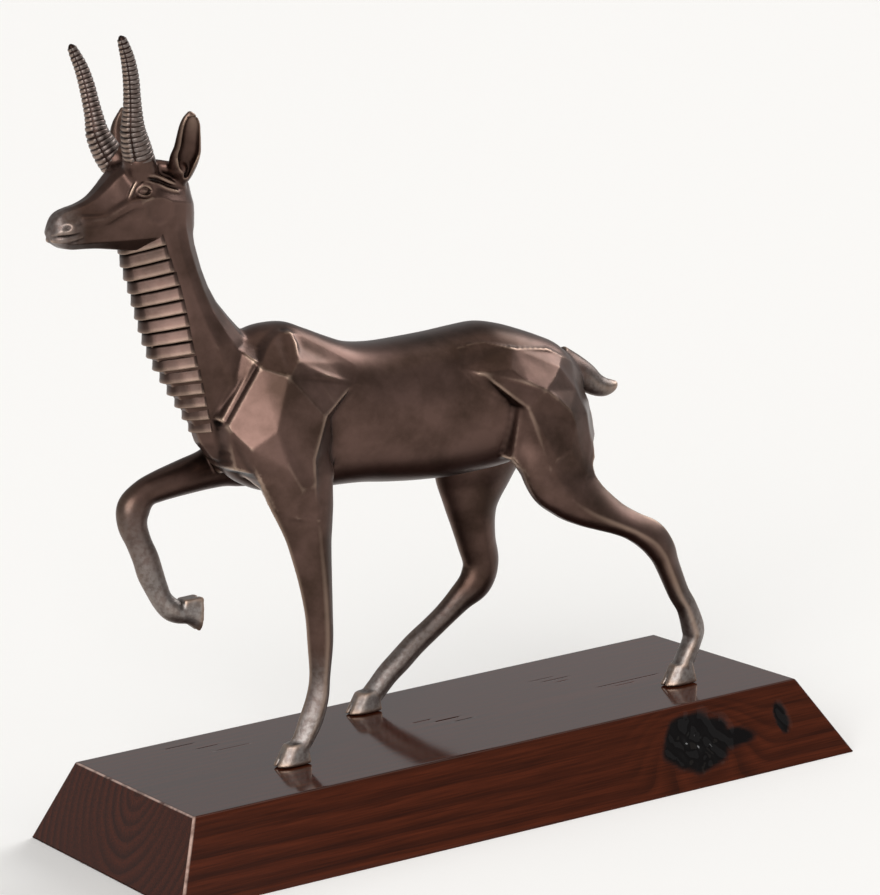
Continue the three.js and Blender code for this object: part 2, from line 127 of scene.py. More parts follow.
class Clay:
    # distances are kept up to this many grid steps off the skin
    def __init__(self, low, high, step):
        self.step = step
        self.first = np.floor(np.array(low) / step).astype(int)
        self.size = np.ceil(np.array(high) / step).astype(int) - self.first + 1
        self.reach = bandSteps * step
        self.depth = np.full(self.size, self.reach, np.float32)

    def another(self):
        # an empty block of the same size and place
        fresh = copy.copy(self)
        fresh.depth = np.full(self.size, self.reach, np.float32)
        return fresh

    def patch(self, low, high):
        a = np.clip(np.floor(np.array(low) / self.step).astype(int) - self.first, 0, self.size)
        b = np.clip(np.ceil(np.array(high) / self.step).astype(int) - self.first + 1, 0, self.size)
        x, y, z = [(np.arange(start, end) * self.step).astype(np.float32)
                   for start, end in zip(a + self.first, b + self.first)]
        place = tuple(slice(a[i], b[i]) for i in range(3))
        return place, x[:, None, None], y[None, :, None], z[None, None, :]

    def shape(self, form, soft, cutting):
        low, high, depthAt = form
        place, x, y, z = self.patch(np.array(low) - 2 * self.reach, np.array(high) + 2 * self.reach)
        if min(x.size, y.size, z.size):
            new = np.clip(depthAt(x, y, z, self.step), -self.reach, self.reach)
            old = self.depth[place]
            self.depth[place] = softCut(old, -new, soft) if cutting else softUnion(old, new, soft)

    def add(self, form, soft):
        self.shape(form, soft, False)

    def cut(self, form, soft):
        self.shape(form, soft, True)

    def melt(self, passes=1):
        # rubs every edge down by about a grid step for each pass
        d = self.depth
        for _ in range(passes):
            for axis in range(3):
                d = np.moveaxis(d, axis, 0)
                inner = 0.25 * d[:-2] + 0.5 * d[1:-1] + 0.25 * d[2:]
                d[1:-1] = inner
                d = np.moveaxis(d, 0, axis)
        self.depth = np.ascontiguousarray(d)

    def sample(self, points, field=None):
        # distances at points between the grid's places
        field = self.depth if field is None else field
        at = points / self.step - self.first
        base = np.clip(np.floor(at).astype(int), 0, self.size - 2)
        part = np.clip(at - base, 0, 1)
        out = np.zeros(len(points))
        for i in (0, 1):
            for j in (0, 1):
                for k in (0, 1):
                    weight = np.abs(1 - np.array([i, j, k]) - part).prod(1)
                    out += weight * field[tuple((base + (i, j, k)).T)]
        return out

    def surface(self):
        grid = openvdb.FloatGrid(self.reach)
        grid.copyFromArray(self.depth, ijk=tuple(int(v) for v in self.first), tolerance=0.0)
        grid.transform = openvdb.createLinearTransform(voxelSize=self.step)
        grid.gridClass = openvdb.GridClass.LEVEL_SET
        points, quads = grid.convertToQuads(isovalue=0.0)
        return np.asarray(points, float), np.asarray(quads, int)


def eased(rows, extra):
    # Catmull-Rom rows between the given ones
    rows = np.asarray(rows, float)
    ends = np.vstack([2 * rows[0] - rows[1], rows, 2 * rows[-1] - rows[-2]])
    out = []
    for i in range(1, len(ends) - 2):
        p0, p1, p2, p3 = ends[i - 1:i + 3]
        for t in np.arange(extra + 1) / (extra + 1):
            out.append(0.5 * (2 * p1 + (p2 - p0) * t + (2 * p0 - 5 * p1 + 4 * p2 - p3) * t ** 2
                              + (3 * p1 - p0 - 3 * p2 + p3) * t ** 3))
    return np.array(out + [rows[-1]])


def shell(rings):
    # points and triangles of the skin over a row of rings, closed at both ends
    rings = np.asarray(rings, float)
    count, sides = rings.shape[:2]
    r, s = np.meshgrid(np.arange(count - 1), np.arange(sides), indexing="ij")
    a = (r * sides + s).ravel()
    b = (r * sides + (s + 1) % sides).ravel()
    faces = [np.stack([a, b, a + sides], 1), np.stack([b, b + sides, a + sides], 1)]
    points = np.vstack([rings.reshape(-1, 3), rings[0].mean(0), rings[-1].mean(0)])
    edge = np.arange(sides)
    turn = (edge + 1) % sides
    last = (count - 1) * sides
    faces.append(np.stack([turn, edge, np.full(sides, count * sides)], 1))
    faces.append(np.stack([last + edge, last + turn, np.full(sides, count * sides + 1)], 1))
    return points, np.vstack(faces)


def skinned(rings):
    points, triangles = shell(rings)

    def depthAt(x, y, z, step):
        grid = openvdb.FloatGrid.createLevelSetFromPolygons(
            points, triangles=triangles.astype(np.uint32),
            transform=openvdb.createLinearTransform(voxelSize=step), halfWidth=bandSteps)
        out = np.empty((x.size, y.size, z.size), np.float32)
        grid.copyToArray(out, ijk=tuple(int(round(float(v.flat[0]) / step)) for v in (x, y, z)))
        return out

    return points.min(0), points.max(0), depthAt


def stroke(points, radii):
    # a rounded bead along a line of points, with a radius at each
    points = np.asarray(points, float)
    radii = np.broadcast_to(np.asarray(radii, float), (len(points),))

    def depthAt(x, y, z, step):
        out = None
        for a, b, ra, rb in zip(points[:-1], points[1:], radii[:-1], radii[1:]):
            along = b - a
            t = (x - a[0]) * along[0] + (y - a[1]) * along[1] + (z - a[2]) * along[2]
            t = np.clip(t / max(along @ along, 1e-9), 0, 1)
            far = np.sqrt((x - a[0] - t * along[0]) ** 2 + (y - a[1] - t * along[1]) ** 2
                          + (z - a[2] - t * along[2]) ** 2)
            far = far - (ra + (rb - ra) * t)
            out = far if out is None else np.minimum(out, far)
        return out

    reach = radii.max()
    return points.min(0) - reach, points.max(0) + reach, depthAt


def pebble(middle, radii):
    # an egg shape with its three radii along x, y and z
    middle = np.asarray(middle, float)
    radii = np.asarray(radii, float)

    def depthAt(x, y, z, step):
        size = 0
        steep = 0
        for place, centre, radius in zip((x, y, z), middle, radii):
            size = size + ((place - centre) / radius) ** 2
            steep = steep + ((place - centre) / radius ** 2) ** 2
        size = np.sqrt(size)
        return size * (size - 1) / np.maximum(np.sqrt(steep), 1e-6)

    reach = radii.max()
    return middle - reach, middle + reach, depthAt


def facets(corners, faces, side, fork, swing=(0, 0), fade=(0, 0)):
    # A planed flank: how far it stands out from the plane of symmetry, facet by facet.
    # side is -1 for the left flank and 1 for the right one. Below the heights in swing and fade
    # the corners move forward and the facets sink away, each at its rate.
    spots = {name: np.array([x - max(0, swing[0] - z) * swing[1], z, out], float)
             for name, (x, z, out) in corners.items()}
    flat = np.array(list(spots.values()))
    low = np.array([flat[:, 0].min(), -1.0 if side > 0 else -flat[:, 2].max(), flat[:, 1].min()])
    high = np.array([flat[:, 0].max(), flat[:, 2].max() if side > 0 else 1.0, flat[:, 1].max()])

    def depthAt(x, y, z, step):
        gridX, gridZ = np.meshgrid(x.ravel(), z.ravel(), indexing="ij")
        nothing = -99.0
        stand = np.full(gridX.shape, nothing)
        for face in faces:
            first = spots[face[0]]
            for one, two in zip(face[1:-1], face[2:]):
                b, c = spots[one] - first, spots[two] - first
                area = b[0] * c[1] - b[1] * c[0]
                if abs(area) < 1e-6:
                    continue
                u = ((gridX - first[0]) * c[1] - (gridZ - first[1]) * c[0]) / area
                v = ((gridZ - first[1]) * b[0] - (gridX - first[0]) * b[1]) / area
                inside = (u > -0.02) & (v > -0.02) & (u + v < 1.02)
                stand = np.where(inside, np.maximum(stand, first[2] + u * b[2] + v * c[2]), stand)
        seen = stand > nothing
        known = seen.astype(float)
        height = np.where(seen, stand, 0)
        for _ in range(max(1, int(round(1.0 / step)))):
            for axis in (0, 1):
                height = 0.5 * height + 0.25 * (np.roll(height, 1, axis) + np.roll(height, -1, axis))
                known = 0.5 * known + 0.25 * (np.roll(known, 1, axis) + np.roll(known, -1, axis))
        level = np.where(seen, height / np.maximum(known, 1e-3), nothing)
        level -= np.maximum(0, fade[0] - gridZ) * fade[1]
        slopeX, slopeZ = np.gradient(np.where(seen, level, 0), step)
        steep = np.sqrt(1 + np.minimum(slopeX ** 2 + slopeZ ** 2, 9))[:, None, :]
        out = side * y
        depth = np.maximum((out - level[:, None, :]) / steep, -out - 1)
        top = fork["top"] + fork["rise"] * ramped(x, *fork["riseAt"])
        spread = fork["spread"] + (fork["rearSpread"] - fork["spread"]) * ramped(x, *fork["rearAt"])
        inner = np.minimum((top - z) * spread, fork["widest"])
        depth = softCut(depth, (inner - out) / np.sqrt(1 + spread * spread), fork["soft"])
        return depth.astype(np.float32)

    return low, high, depthAt


trunk = {
    # x, top, underside, half width, share of the height where it is widest
    "stations": [
        (-119, 196, 172, 9, 0.5), (-112, 214, 158, 16, 0.5), (-102, 229, 150, 20, 0.5),
        (-90, 235.5, 145, 22.5, 0.5), (-72, 235.5, 142.5, 25, 0.5), (-60, 230.5, 142, 27.5, 0.5),
        (-47, 224, 141.5, 29.5, 0.5), (-34, 218.5, 140.5, 31, 0.5), (-18, 216, 138, 31, 0.5),
        (0, 215.7, 135.8, 30.8, 0.5), (18, 216, 134.5, 30, 0.5), (34, 216.8, 134.5, 29.6, 0.52),
        (48, 217, 135, 30, 0.54), (60, 214.2, 136.5, 29.5, 0.55), (72, 209.5, 141, 27.5, 0.56),
        (84, 204, 148, 24.5, 0.57), (94, 198.5, 156, 19.5, 0.58), (103, 190, 162, 13, 0.55),
        (109.5, 183, 168, 7, 0.5),
    ],
    "sides": 96,
    "flankFullness": 0.86,
    "backFullness": 0.94,
}


def trunkForm():
    turn = 2 * np.pi * np.arange(trunk["sides"]) / trunk["sides"]
    rings = []
    for x, top, under, wide, waist in eased(trunk["stations"], 4):
        up = np.sign(np.cos(turn)) * np.abs(np.cos(turn)) ** trunk["backFullness"]
        out = np.sign(np.sin(turn)) * np.abs(np.sin(turn)) ** trunk["flankFullness"]
        middle = under + (top - under) * waist
        height = middle + np.where(up > 0, top - middle, middle - under) * up
        rings.append(np.stack([np.full_like(turn, x), wide * out, height], 1))
    return skinned(rings)


# shoulder and haunch: corners as x, height, distance from the plane of symmetry
shoulder = {
    "corners": {
        "bladeFront": (-98.4, 216.9, 26), "bladeA": (-91, 224.7, 19.5), "bladeB": (-84.9, 229.3, 15.8),
        "bladeC": (-77.9, 232, 12.8), "bladeD": (-73.3, 231.5, 14.4), "bladeE": (-72.5, 225.2, 21),
        "bladeF": (-76.3, 217.4, 28.5), "bladePeak": (-85.5, 210.5, 33.5), "elbow": (-96.2, 183.6, 35.5),
        "pointLow": (-110.8, 175.1, 31), "point": (-118.9, 187.5, 21.5),
        "grooveTop": (-98.2, 219.8, 22.4), "grooveLow": (-119, 189.4, 18), "flareIn": (-99.4, 220.6, 23.6),
        "flareLowIn": (-120, 190.6, 19), "flareTop": (-105.8, 227, 15.6), "flareMid": (-113.5, 209.1, 16),
        "flareLow": (-122.2, 192.1, 12.4), "bladeAFoot": (-93.6, 226, 14), "bladeBFoot": (-86.6, 231, 10.6),
        "bladeCFoot": (-78.4, 233.4, 8.6),
        "ridgeA": (-64.5, 227, 11.8), "ridgeB": (-58, 222.1, 14.6), "ridgeC": (-51.4, 217.6, 16.6),
        "ridgeD": (-41, 209.5, 20.6), "fanTop": (-74.2, 212.4, 30.4), "fanMid": (-59.7, 206.8, 29.6),
        "rearTip": (-44.6, 199.9, 27.4), "rearTipFoot": (-40, 199.1, 26), "rib": (-68.7, 186.7, 39),
        "ribFoot": (-59, 184, 26.4), "armTop": (-78.7, 165.5, 41), "armSide": (-80, 152.3, 42),
        "armLow": (-80.1, 132.9, 39.6), "armInner": (-92.7, 162.3, 39.8), "armFold": (-87.9, 150.9, 41.8),
        "armFoldLow": (-90.9, 134.9, 38.6), "frontA": (-107.7, 156.8, 31), "frontB": (-101.8, 142.5, 32.3),
        "frontC": (-98.6, 136.3, 30), "chestA": (-108.6, 160.8, 28), "chestB": (-116.7, 163.5, 18),
        "chestC": (-119.5, 178.6, 13), "breast": (-121, 172, 4), "breastTop": (-121.5, 188, 4),
        "breastLow": (-117, 163, 5), "rearA": (-58, 165, 23), "rearB": (-63, 143.4, 26),
        "rearC": (-66, 130, 24), "withers": (-97.5, 228.5, 9.4),
    },
    # where the right leg lifts, its arm leaves the flank higher up
    "lifted": {
        "armTop": (-77, 160, 32), "armInner": (-94, 154, 33), "frontA": (-110, 154, 27),
        "rearA": (-64, 164, 23),
    },
    "fade": (176, 0.55),
    "faces": [
        ("bladePeak", "bladeFront", "bladeA", "bladeB", "bladeC", "bladeD", "bladeE", "bladeF"),
        ("bladeFront", "bladeAFoot", "bladeA"), ("bladeA", "bladeAFoot", "bladeBFoot", "bladeB"),
        ("bladeB", "bladeBFoot", "bladeCFoot", "bladeC"),
        ("elbow", "pointLow", "point", "bladeFront", "bladePeak"),
        ("flareTop", "withers", "bladeAFoot", "bladeFront", "grooveTop", "flareIn"),
        ("point", "bladeFront", "grooveTop", "grooveLow"),
        ("grooveTop", "flareIn", "flareLowIn", "grooveLow"),
        ("flareIn", "flareTop", "flareMid", "flareLow", "flareLowIn"),
        ("bladePeak", "fanTop", "fanMid", "rearTip", "rib"),
        ("bladeF", "bladeE", "bladeD", "ridgeA", "ridgeB", "ridgeC", "ridgeD", "rearTip", "fanMid",
         "fanTop"),
        ("bladePeak", "bladeF", "fanTop"),
        ("bladePeak", "rib", "armTop", "elbow"),
        ("point", "pointLow", "frontA", "chestA", "chestB", "chestC"),
        ("rib", "ribFoot", "rearA", "armTop"),
        ("rearTip", "rearTipFoot", "ribFoot", "rib"),
        ("chestC", "chestB", "breastLow", "breast"),
        ("point", "chestC", "breast", "breastTop"),
    ],
    "armFaces": [
        ("elbow", "armTop", "armSide", "armFold", "armInner"),
        ("armFold", "armSide", "armLow", "armFoldLow"),
        ("pointLow", "elbow", "armInner", "armFold", "frontB", "frontA"),
        ("frontB", "armFold", "armFoldLow", "frontC"),
        ("armTop", "rearA", "rearB", "armSide"), ("armSide", "rearB", "rearC", "armLow"),
    ],
    "liftedFaces": [("elbow", "armTop", "armInner"), ("pointLow", "elbow", "armInner", "frontA")],
}

haunch = {
    "corners": {
        "hip": (56, 203.6, 24.8), "rumpA": (80.9, 198.6, 19.8), "hipRear": (90.1, 193, 18),
        "rumpB": (83.3, 188.7, 27), "rumpC": (77.7, 183.9, 32), "diamondPeak": (67.1, 179.3, 38.5),
        "hipMid": (58.5, 183.4, 38), "hipFront": (49.2, 193.3, 33),
        "loinA": (24, 208, 17.8), "loinB": (40, 209, 18.2), "loinC": (22, 197.5, 24),
        "bone": (32.3, 193.3, 30.8),
        "boneFoot": (27, 189, 27), "notch": (52.2, 171.7, 35), "notchIn": (49.6, 173, 29.4),
        "diamondLeft": (55.5, 171, 38.5), "foldFront": (47.5, 142.6, 30), "foldIn": (44.6, 143.5, 20),
        "foldLow": (55.1, 131.5, 32), "ridgeHigh": (64.4, 135.3, 41), "ridgeLow": (72.8, 125.5, 40.4),
        "diamondA": (73.4, 175.4, 37.5), "diamondB": (82.4, 165.5, 37), "diamondC": (84.9, 158, 37),
        "diamondD": (79.2, 143.8, 39.5), "diamondE": (69.3, 140.1, 41.5),
        "dock": (98, 188.5, 13.2), "seatTop": (106.3, 180, 6), "seatMid": (111.2, 163.4, 8),
        "seatLow": (112, 144.6, 12), "seatFoot": (104, 128, 22), "backA": (93, 174, 27),
        "backB": (97, 160, 30), "backC": (97, 144, 31.5), "hamA": (88, 128, 37.5), "hamB": (80, 117, 39),
    },
    "faces": [
        ("hip", "rumpA", "hipRear", "rumpB", "rumpC", "diamondPeak", "hipMid", "hipFront"),
        ("hip", "hipFront", "bone", "loinC", "loinA", "loinB"),
        ("bone", "hipFront", "hipMid", "diamondPeak", "diamondLeft", "notch"),
        ("bone", "notch", "notchIn", "boneFoot"),
        ("bone", "boneFoot", "loinC"),
        ("notch", "foldFront", "foldIn", "notchIn"),
        ("notch", "diamondLeft", "ridgeHigh", "foldLow", "foldFront"),
        ("diamondLeft", "diamondPeak", "diamondA", "diamondB", "diamondC", "diamondD", "diamondE",
         "ridgeHigh"),
        ("diamondPeak", "rumpC", "rumpB", "backA", "diamondB", "diamondA"),
        ("hipRear", "dock", "backA", "rumpB"),
        ("dock", "seatTop", "seatMid", "backB", "backA"),
        ("diamondB", "backA", "backB", "diamondC"),
        ("seatMid", "seatLow", "backC", "backB"),
        ("diamondC", "backB", "backC", "hamA", "diamondD"),
    ],
    # the left thigh is planed further down
    "thighFaces": [
        ("foldLow", "ridgeHigh", "ridgeLow"), ("seatLow", "seatFoot", "hamA", "backC"),
        ("ridgeHigh", "diamondE", "diamondD", "hamA", "hamB", "ridgeLow"),
    ],
    # the right thigh swings forward with its leg
    "swing": (172, 0.3), "fade": (160, 1.0),
}
# the limbs stand apart below the trunk: the gap grows from its top to its widest
foreFork = {"top": 161, "spread": 2.8, "widest": 24, "rise": 0, "riseAt": (0, 1), "rearSpread": 2.8,
            "rearAt": (0, 1), "soft": 3.0}
hindFork = {"top": 150, "spread": 2.6, "widest": 24, "rise": 16, "riseAt": (50, 68), "rearSpread": 0.6,
            "rearAt": (72, 100), "soft": 3.0}

# legs and tail: x, y, height, half depth fore and aft, half width; a positive ridgeBack moves the
# ridges down the sides towards the rear, fullness runs from a diamond's 0.5 to a circle's 0.71
limbs = {
    "nearForeleg": {
        "ridgeBack": 0.16, "fullness": 0.62, "soft": 2.5,
        "stations": [
            (-84, -26, 176, 16, 8), (-85, -30, 158, 22, 9), (-85, -31.4, 149, 20.6, 8.8),
            (-83.5, -32, 137, 17.6, 9.6), (-82.5, -32, 127, 14.8, 10), (-81.8, -31.6, 117, 12.6, 9.6),
            (-80.6, -31.2, 98.8, 10, 8.6), (-80.2, -31, 80, 8.2, 7.8), (-80.8, -30.6, 64, 7.6, 7.4),
            (-82.6, -30, 46, 6.2, 6.2), (-85, -29.4, 34, 6.6, 7), (-89.6, -28.6, 22.5, 7, 7),
            (-95, -28.2, 13, 6.2, 6.4), (-99, -28, 8, 6, 6),
        ],
    },
    "nearHindLeg": {
        "ridgeBack": -0.38, "fullness": 0.62, "soft": 2.5,
        "stations": [
            (80, -26, 166, 18, 8), (76, -29, 146, 24, 10), (77, -32, 130, 22.6, 9.6),
            (82, -33.8, 119.6, 17.6, 10.6), (89.4, -36, 111.8, 13.8, 10.6), (98.6, -37.8, 105, 10.8, 10),
            (107, -38.8, 99.6, 8.8, 9), (115.6, -39.4, 94.4, 8.2, 8.2), (126, -40, 87, 9.2, 7.8),
            (132.4, -40.2, 78, 8.6, 7.2), (135.6, -40.4, 68.5, 7.2, 6.6), (141, -40.8, 52, 6.4, 6.2),
            (145.6, -41, 42.4, 6.2, 6.2), (148.8, -41, 29.6, 6.8, 7), (147.6, -40.8, 22.7, 5.8, 6.4),
            (143.8, -40.4, 15.5, 6, 6.2), (140.4, -40.2, 9, 6.2, 6.4),
        ],
    },
    "raisedForeleg": {
        "ridgeBack": 0.0, "fullness": 0.7, "soft": 2.5,
        "stations": [
            (-78, 29, 161, 19, 9), (-96, 29, 160, 16, 9), (-110, 28, 157, 11.4, 9.4),
            (-125.4, 26.6, 155.2, 9.8, 9), (-140.6, 25, 153.2, 8.6, 8), (-150.5, 24.4, 150.6, 8, 7.6),
            (-157.6, 24, 144, 9.4, 8), (-159.4, 23.6, 135.4, 8.4, 7.2), (-157.2, 23, 125.6, 7.2, 6.4),
            (-154.4, 22.4, 116.2, 7.4, 6.2), (-152.6, 22, 107.1, 7.4, 6.2), (-150.2, 21.6, 98.9, 6.6, 5.8),
            (-147.6, 21, 91.5, 6, 5.8), (-143.4, 20.6, 86, 6.4, 6.6), (-138.6, 20.2, 83, 6, 6.2),
            (-133, 20, 81.6, 5.4, 5.6),
        ],
    },
    "farHindLeg": {
        "ridgeBack": 0.0, "fullness": 0.68, "soft": 2.5,
        "stations": [
            (72, 26, 166, 18, 8), (63, 28, 150, 28, 10.5), (59.6, 31, 136, 28.4, 12.6),
            (57.6, 36, 121, 23.8, 12.4), (56.4, 38, 108, 17.6, 11.6), (56.8, 39, 97.7, 14.2, 10.4),
            (58.4, 40, 84.8, 12, 9.4), (60.4, 40.6, 71.4, 11, 8.6), (56, 41, 60.8, 10.4, 8),
            (45.8, 41.4, 53.2, 8, 6.8), (36, 41.8, 46, 6.9, 6.2), (26, 42, 39.4, 6.7, 6),
            (14.6, 42, 32.4, 6.8, 6.2), (4, 42, 24.6, 6.8, 6.6), (-4.6, 42, 18.4, 6.6, 6.4),
            (-11.6, 42, 12, 6.4, 6.4), (-16, 42, 8, 6.4, 6.4),
        ],
    },
    "tail": {
        "ridgeBack": 0.0, "fullness": 0.66, "soft": 2.0,
        "stations": [
            (98, 0, 187, 9, 8), (108, 0, 180.5, 8.2, 7.4), (115, 0, 174.5, 8, 6.8), (121, 0, 169.5, 6.6, 6),
            (127, 0, 167, 5.4, 5), (132, 0, 167.2, 3.8, 3.6), (135, 0, 168.4, 1.6, 1.6),
        ],
    },
}


def limbForm(limb, sides=64):
    # ridges in front, behind and down each side
    row = eased(limb["stations"], 5)
    place, size = row[:, :3], row[:, 3:]
    along = unit(np.gradient(place, axis=0))
    fore = unit(np.cross((0.0, 1.0, 0.0), along))
    side = np.cross(fore, along)
    power = math.log(limb["fullness"]) / math.log(math.sqrt(0.5))
    turn = 2 * np.pi * np.arange(sides) / sides
    cos = np.sign(np.cos(turn)) * np.abs(np.cos(turn)) ** power
    sin = np.sign(np.sin(turn)) * np.abs(np.sin(turn)) ** power
    ahead = size[:, :1] * (cos - limb["ridgeBack"] * np.abs(sin))
    return skinned(place[:, None] + fore[:, None] * ahead[:, :, None]
                   + side[:, None] * (size[:, 1:] * sin)[:, :, None])


hooves = {
    # x and y of each heel's middle; the raised one's x, y and height, and its turn about y
    "standing": [(-93.5, -28.0), (-12.5, 42.0), (145.5, -40.0)],
    "raised": (-127.0, 20.0, 80.5), "raisedTurn": -82.0,
    "length": 20.0,
    # left toe, from the heel at x = 0: sole, then coronet
    "toe": [
        (0, 0.5, 0), (0, 6.4, 0), (-9, 7.6, 0), (-16, 6.6, 0), (-20, 3.6, 0), (-20, 0.9, 0),
        (-1.5, -0.4, 11.5), (-1.5, 5.6, 11.5), (-8.4, 6.2, 11.5), (-12.4, 3.2, 11.8), (-12.4, -0.4, 11.8),
    ],
}


def block(points, bevel=0.8):
    # the convex body over a few points, with worn edges
    mesh = bmesh.new()
    for p in points:
        mesh.verts.new(p)
    bmesh.ops.convex_hull(mesh, input=mesh.verts)
    mesh.normal_update()
    planes = {tuple(round(v, 4) for v in (*f.normal, f.normal @ f.verts[0].co)) for f in mesh.faces}
    mesh.free()
    points = np.asarray(points, float)
    middle = points.mean(0)
    planes = [p if np.dot(p[:3], middle) < p[3] else tuple(-v for v in p) for p in sorted(planes)]

    def depthAt(x, y, z, step):
        out = None
        for a, b, c, d in planes:
            far = a * x + b * y + c * z - d
            out = far if out is None else softCut(out, far, bevel)
        return out

    return points.min(0), points.max(0), depthAt


def hoofForms(raised=False, at=(0, 0)):
    turn = Matrix.Identity(4)
    if raised:
        turn = Matrix.Rotation(math.radians(hooves["raisedTurn"]), 4, "Y")
        turn = Matrix.Translation(hooves["raised"]) @ turn
        at = (hooves["length"] / 2, 0)
    forms = []
    for side in (-1, 1):
        points = [turn @ Vector((at[0] + x, at[1] + side * y, z)) for x, y, z in hooves["toe"]]
        forms.append(block([tuple(p) for p in points]))
    return forms


neck = {
    # height, front, back, half width, reach and half width of the slats
    "slices": [
        (312, -150, -119.8, 12, 16, 11), (304, -155.4, -120.2, 14, 17, 13), (296, -159, -120, 15, 18, 14.6),
        (288, -161, -119.2, 15.6, 19, 15.2), (278, -160, -118.8, 16, 20, 15.6),
        (266, -157.2, -116.6, 16.6, 20.5, 16.2), (256, -155.4, -113.6, 17.2, 20.5, 16.6),
        (247, -153.8, -109.4, 18, 20, 16.8), (238, -152, -103, 19, 19, 16.8),
        (228, -149.4, -95, 20.2, 17.6, 16.4), (218, -144.8, -88, 19.4, 15.6, 15.4),
        (208, -140.2, -82, 18.6, 12.8, 13.8), (198, -135.2, -78, 17.8, 9.8, 12),
        (188, -131, -78, 17.4, 7.4, 10.4), (178, -128.6, -80, 17, 6, 9), (168, -121.6, -84, 14, 5, 7),
    ],
    "throatFlat": 3.8, "ringTop": 311.0, "ringFoot": 168.5, "rings": 96,
}
slats = {"top": 292.0, "bottom": 184.0, "count": 15, "tiltTop": 0.2}


def neckAt(z):
    rows = np.array(neck["slices"], float)[::-1]
    return [float(np.interp(z, rows[:, 0], rows[:, i])) for i in range(1, 6)]


def slatTilt(z):
    # how steeply the slats lean at a height: level at the bottom, most at the top
    return slats["tiltTop"] * float(ramped(z, slats["bottom"], slats["top"]))


def neckForm(core=1.0):
    # the core under the slats lies a little below their faces
    rings = []
    flat = neck["throatFlat"]
    for z in np.linspace(neck["ringTop"], neck["ringFoot"], neck["rings"]):
        front, back, wide, reach, band = neckAt(z)
        tilt = slatTilt(z)
        rest = back - front - reach
        half = [
            (front + core, flat),
            (front + reach * 0.5 + core * 0.4, flat + (band - flat) * 0.6 - core * 0.6),
            (front + reach, band - core * 0.4), (front + reach + 1.5, band + 0.2),
            (front + reach + rest * 0.34, band + (wide - band) * 0.9),
            (front + reach + rest * 0.62, wide * 0.88), (front + reach + rest * 0.88, wide * 0.5),
            (back, wide * 0.14),
        ]
        ring = [(x, -y, z + (x - front) * tilt) for x, y in half]
        ring += [(x, y, z + (x - front) * tilt) for x, y in reversed(half)]
        rings.append(ring)
    return skinned(rings)


# the head in its own place: forward of the nape, to the left, and up
head = {
    "turn": 8.0, "foot": (-135.0, 0.0, 0.0),
    # forward, crown, underside, half width, height of the cheek ridge, half width of the bridge
    "slices": [
        (-16.4, 318, 291, 7, 306, 4), (-12, 325, 288, 12, 307, 7), (-5.4, 330, 287, 15.4, 309, 9),
        (5, 333, 286.5, 17.6, 311, 10), (14, 334.2, 286.3, 18, 312, 10.5),
        (22, 333, 286.8, 16.8, 312.6, 10), (29, 330, 287.8, 14.8, 312, 8.6),
        (36, 324.4, 289.2, 13, 309.4, 7.2), (44, 318.8, 290.8, 11.6, 307.4, 6.2),
        (52, 316, 291.8, 10.6, 306.6, 5.6), (59.4, 314.8, 292.6, 10.2, 306, 5.4),
        (64.8, 313.2, 294.4, 9.4, 305, 4.8), (68.4, 309.6, 297, 7.2, 303.5, 3.6),
        (70.6, 305, 299.6, 3.4, 302.2, 1.8),
    ],
}


def inHead(points):
    # head places (forward, left, up) to figure places
    points = np.atleast_2d(np.asarray(points, float))
    c, s = math.cos(math.radians(head["turn"])), math.sin(math.radians(head["turn"]))
    x, y = -points[:, 0], -points[:, 1]
    foot = head["foot"]
    return np.stack([foot[0] + c * x - s * y, foot[1] + s * x + c * y, foot[2] + points[:, 2]], 1)


def headForm():
    rings = []
    for forward, crown, under, wide, ridge, bridge in eased(head["slices"], 3):
        half = [
            (bridge * 0.45, crown), (bridge, crown - (crown - ridge) * 0.16),
            (wide * 0.8, ridge + (crown - ridge) * 0.36), (wide, ridge),
            (wide * 0.95, ridge - (ridge - under) * 0.3), (wide * 0.74, ridge - (ridge - under) * 0.74),
            (wide * 0.35, under + 0.4),
        ]
        ring = [(forward, left, up) for left, up in half]
        ring += [(forward, -left, up) for left, up in reversed(half)]
        rings.append(inHead(ring))
    return skinned(rings)


def mirrored(points, side):
    return [(f, side * l, u) for f, l, u in points]


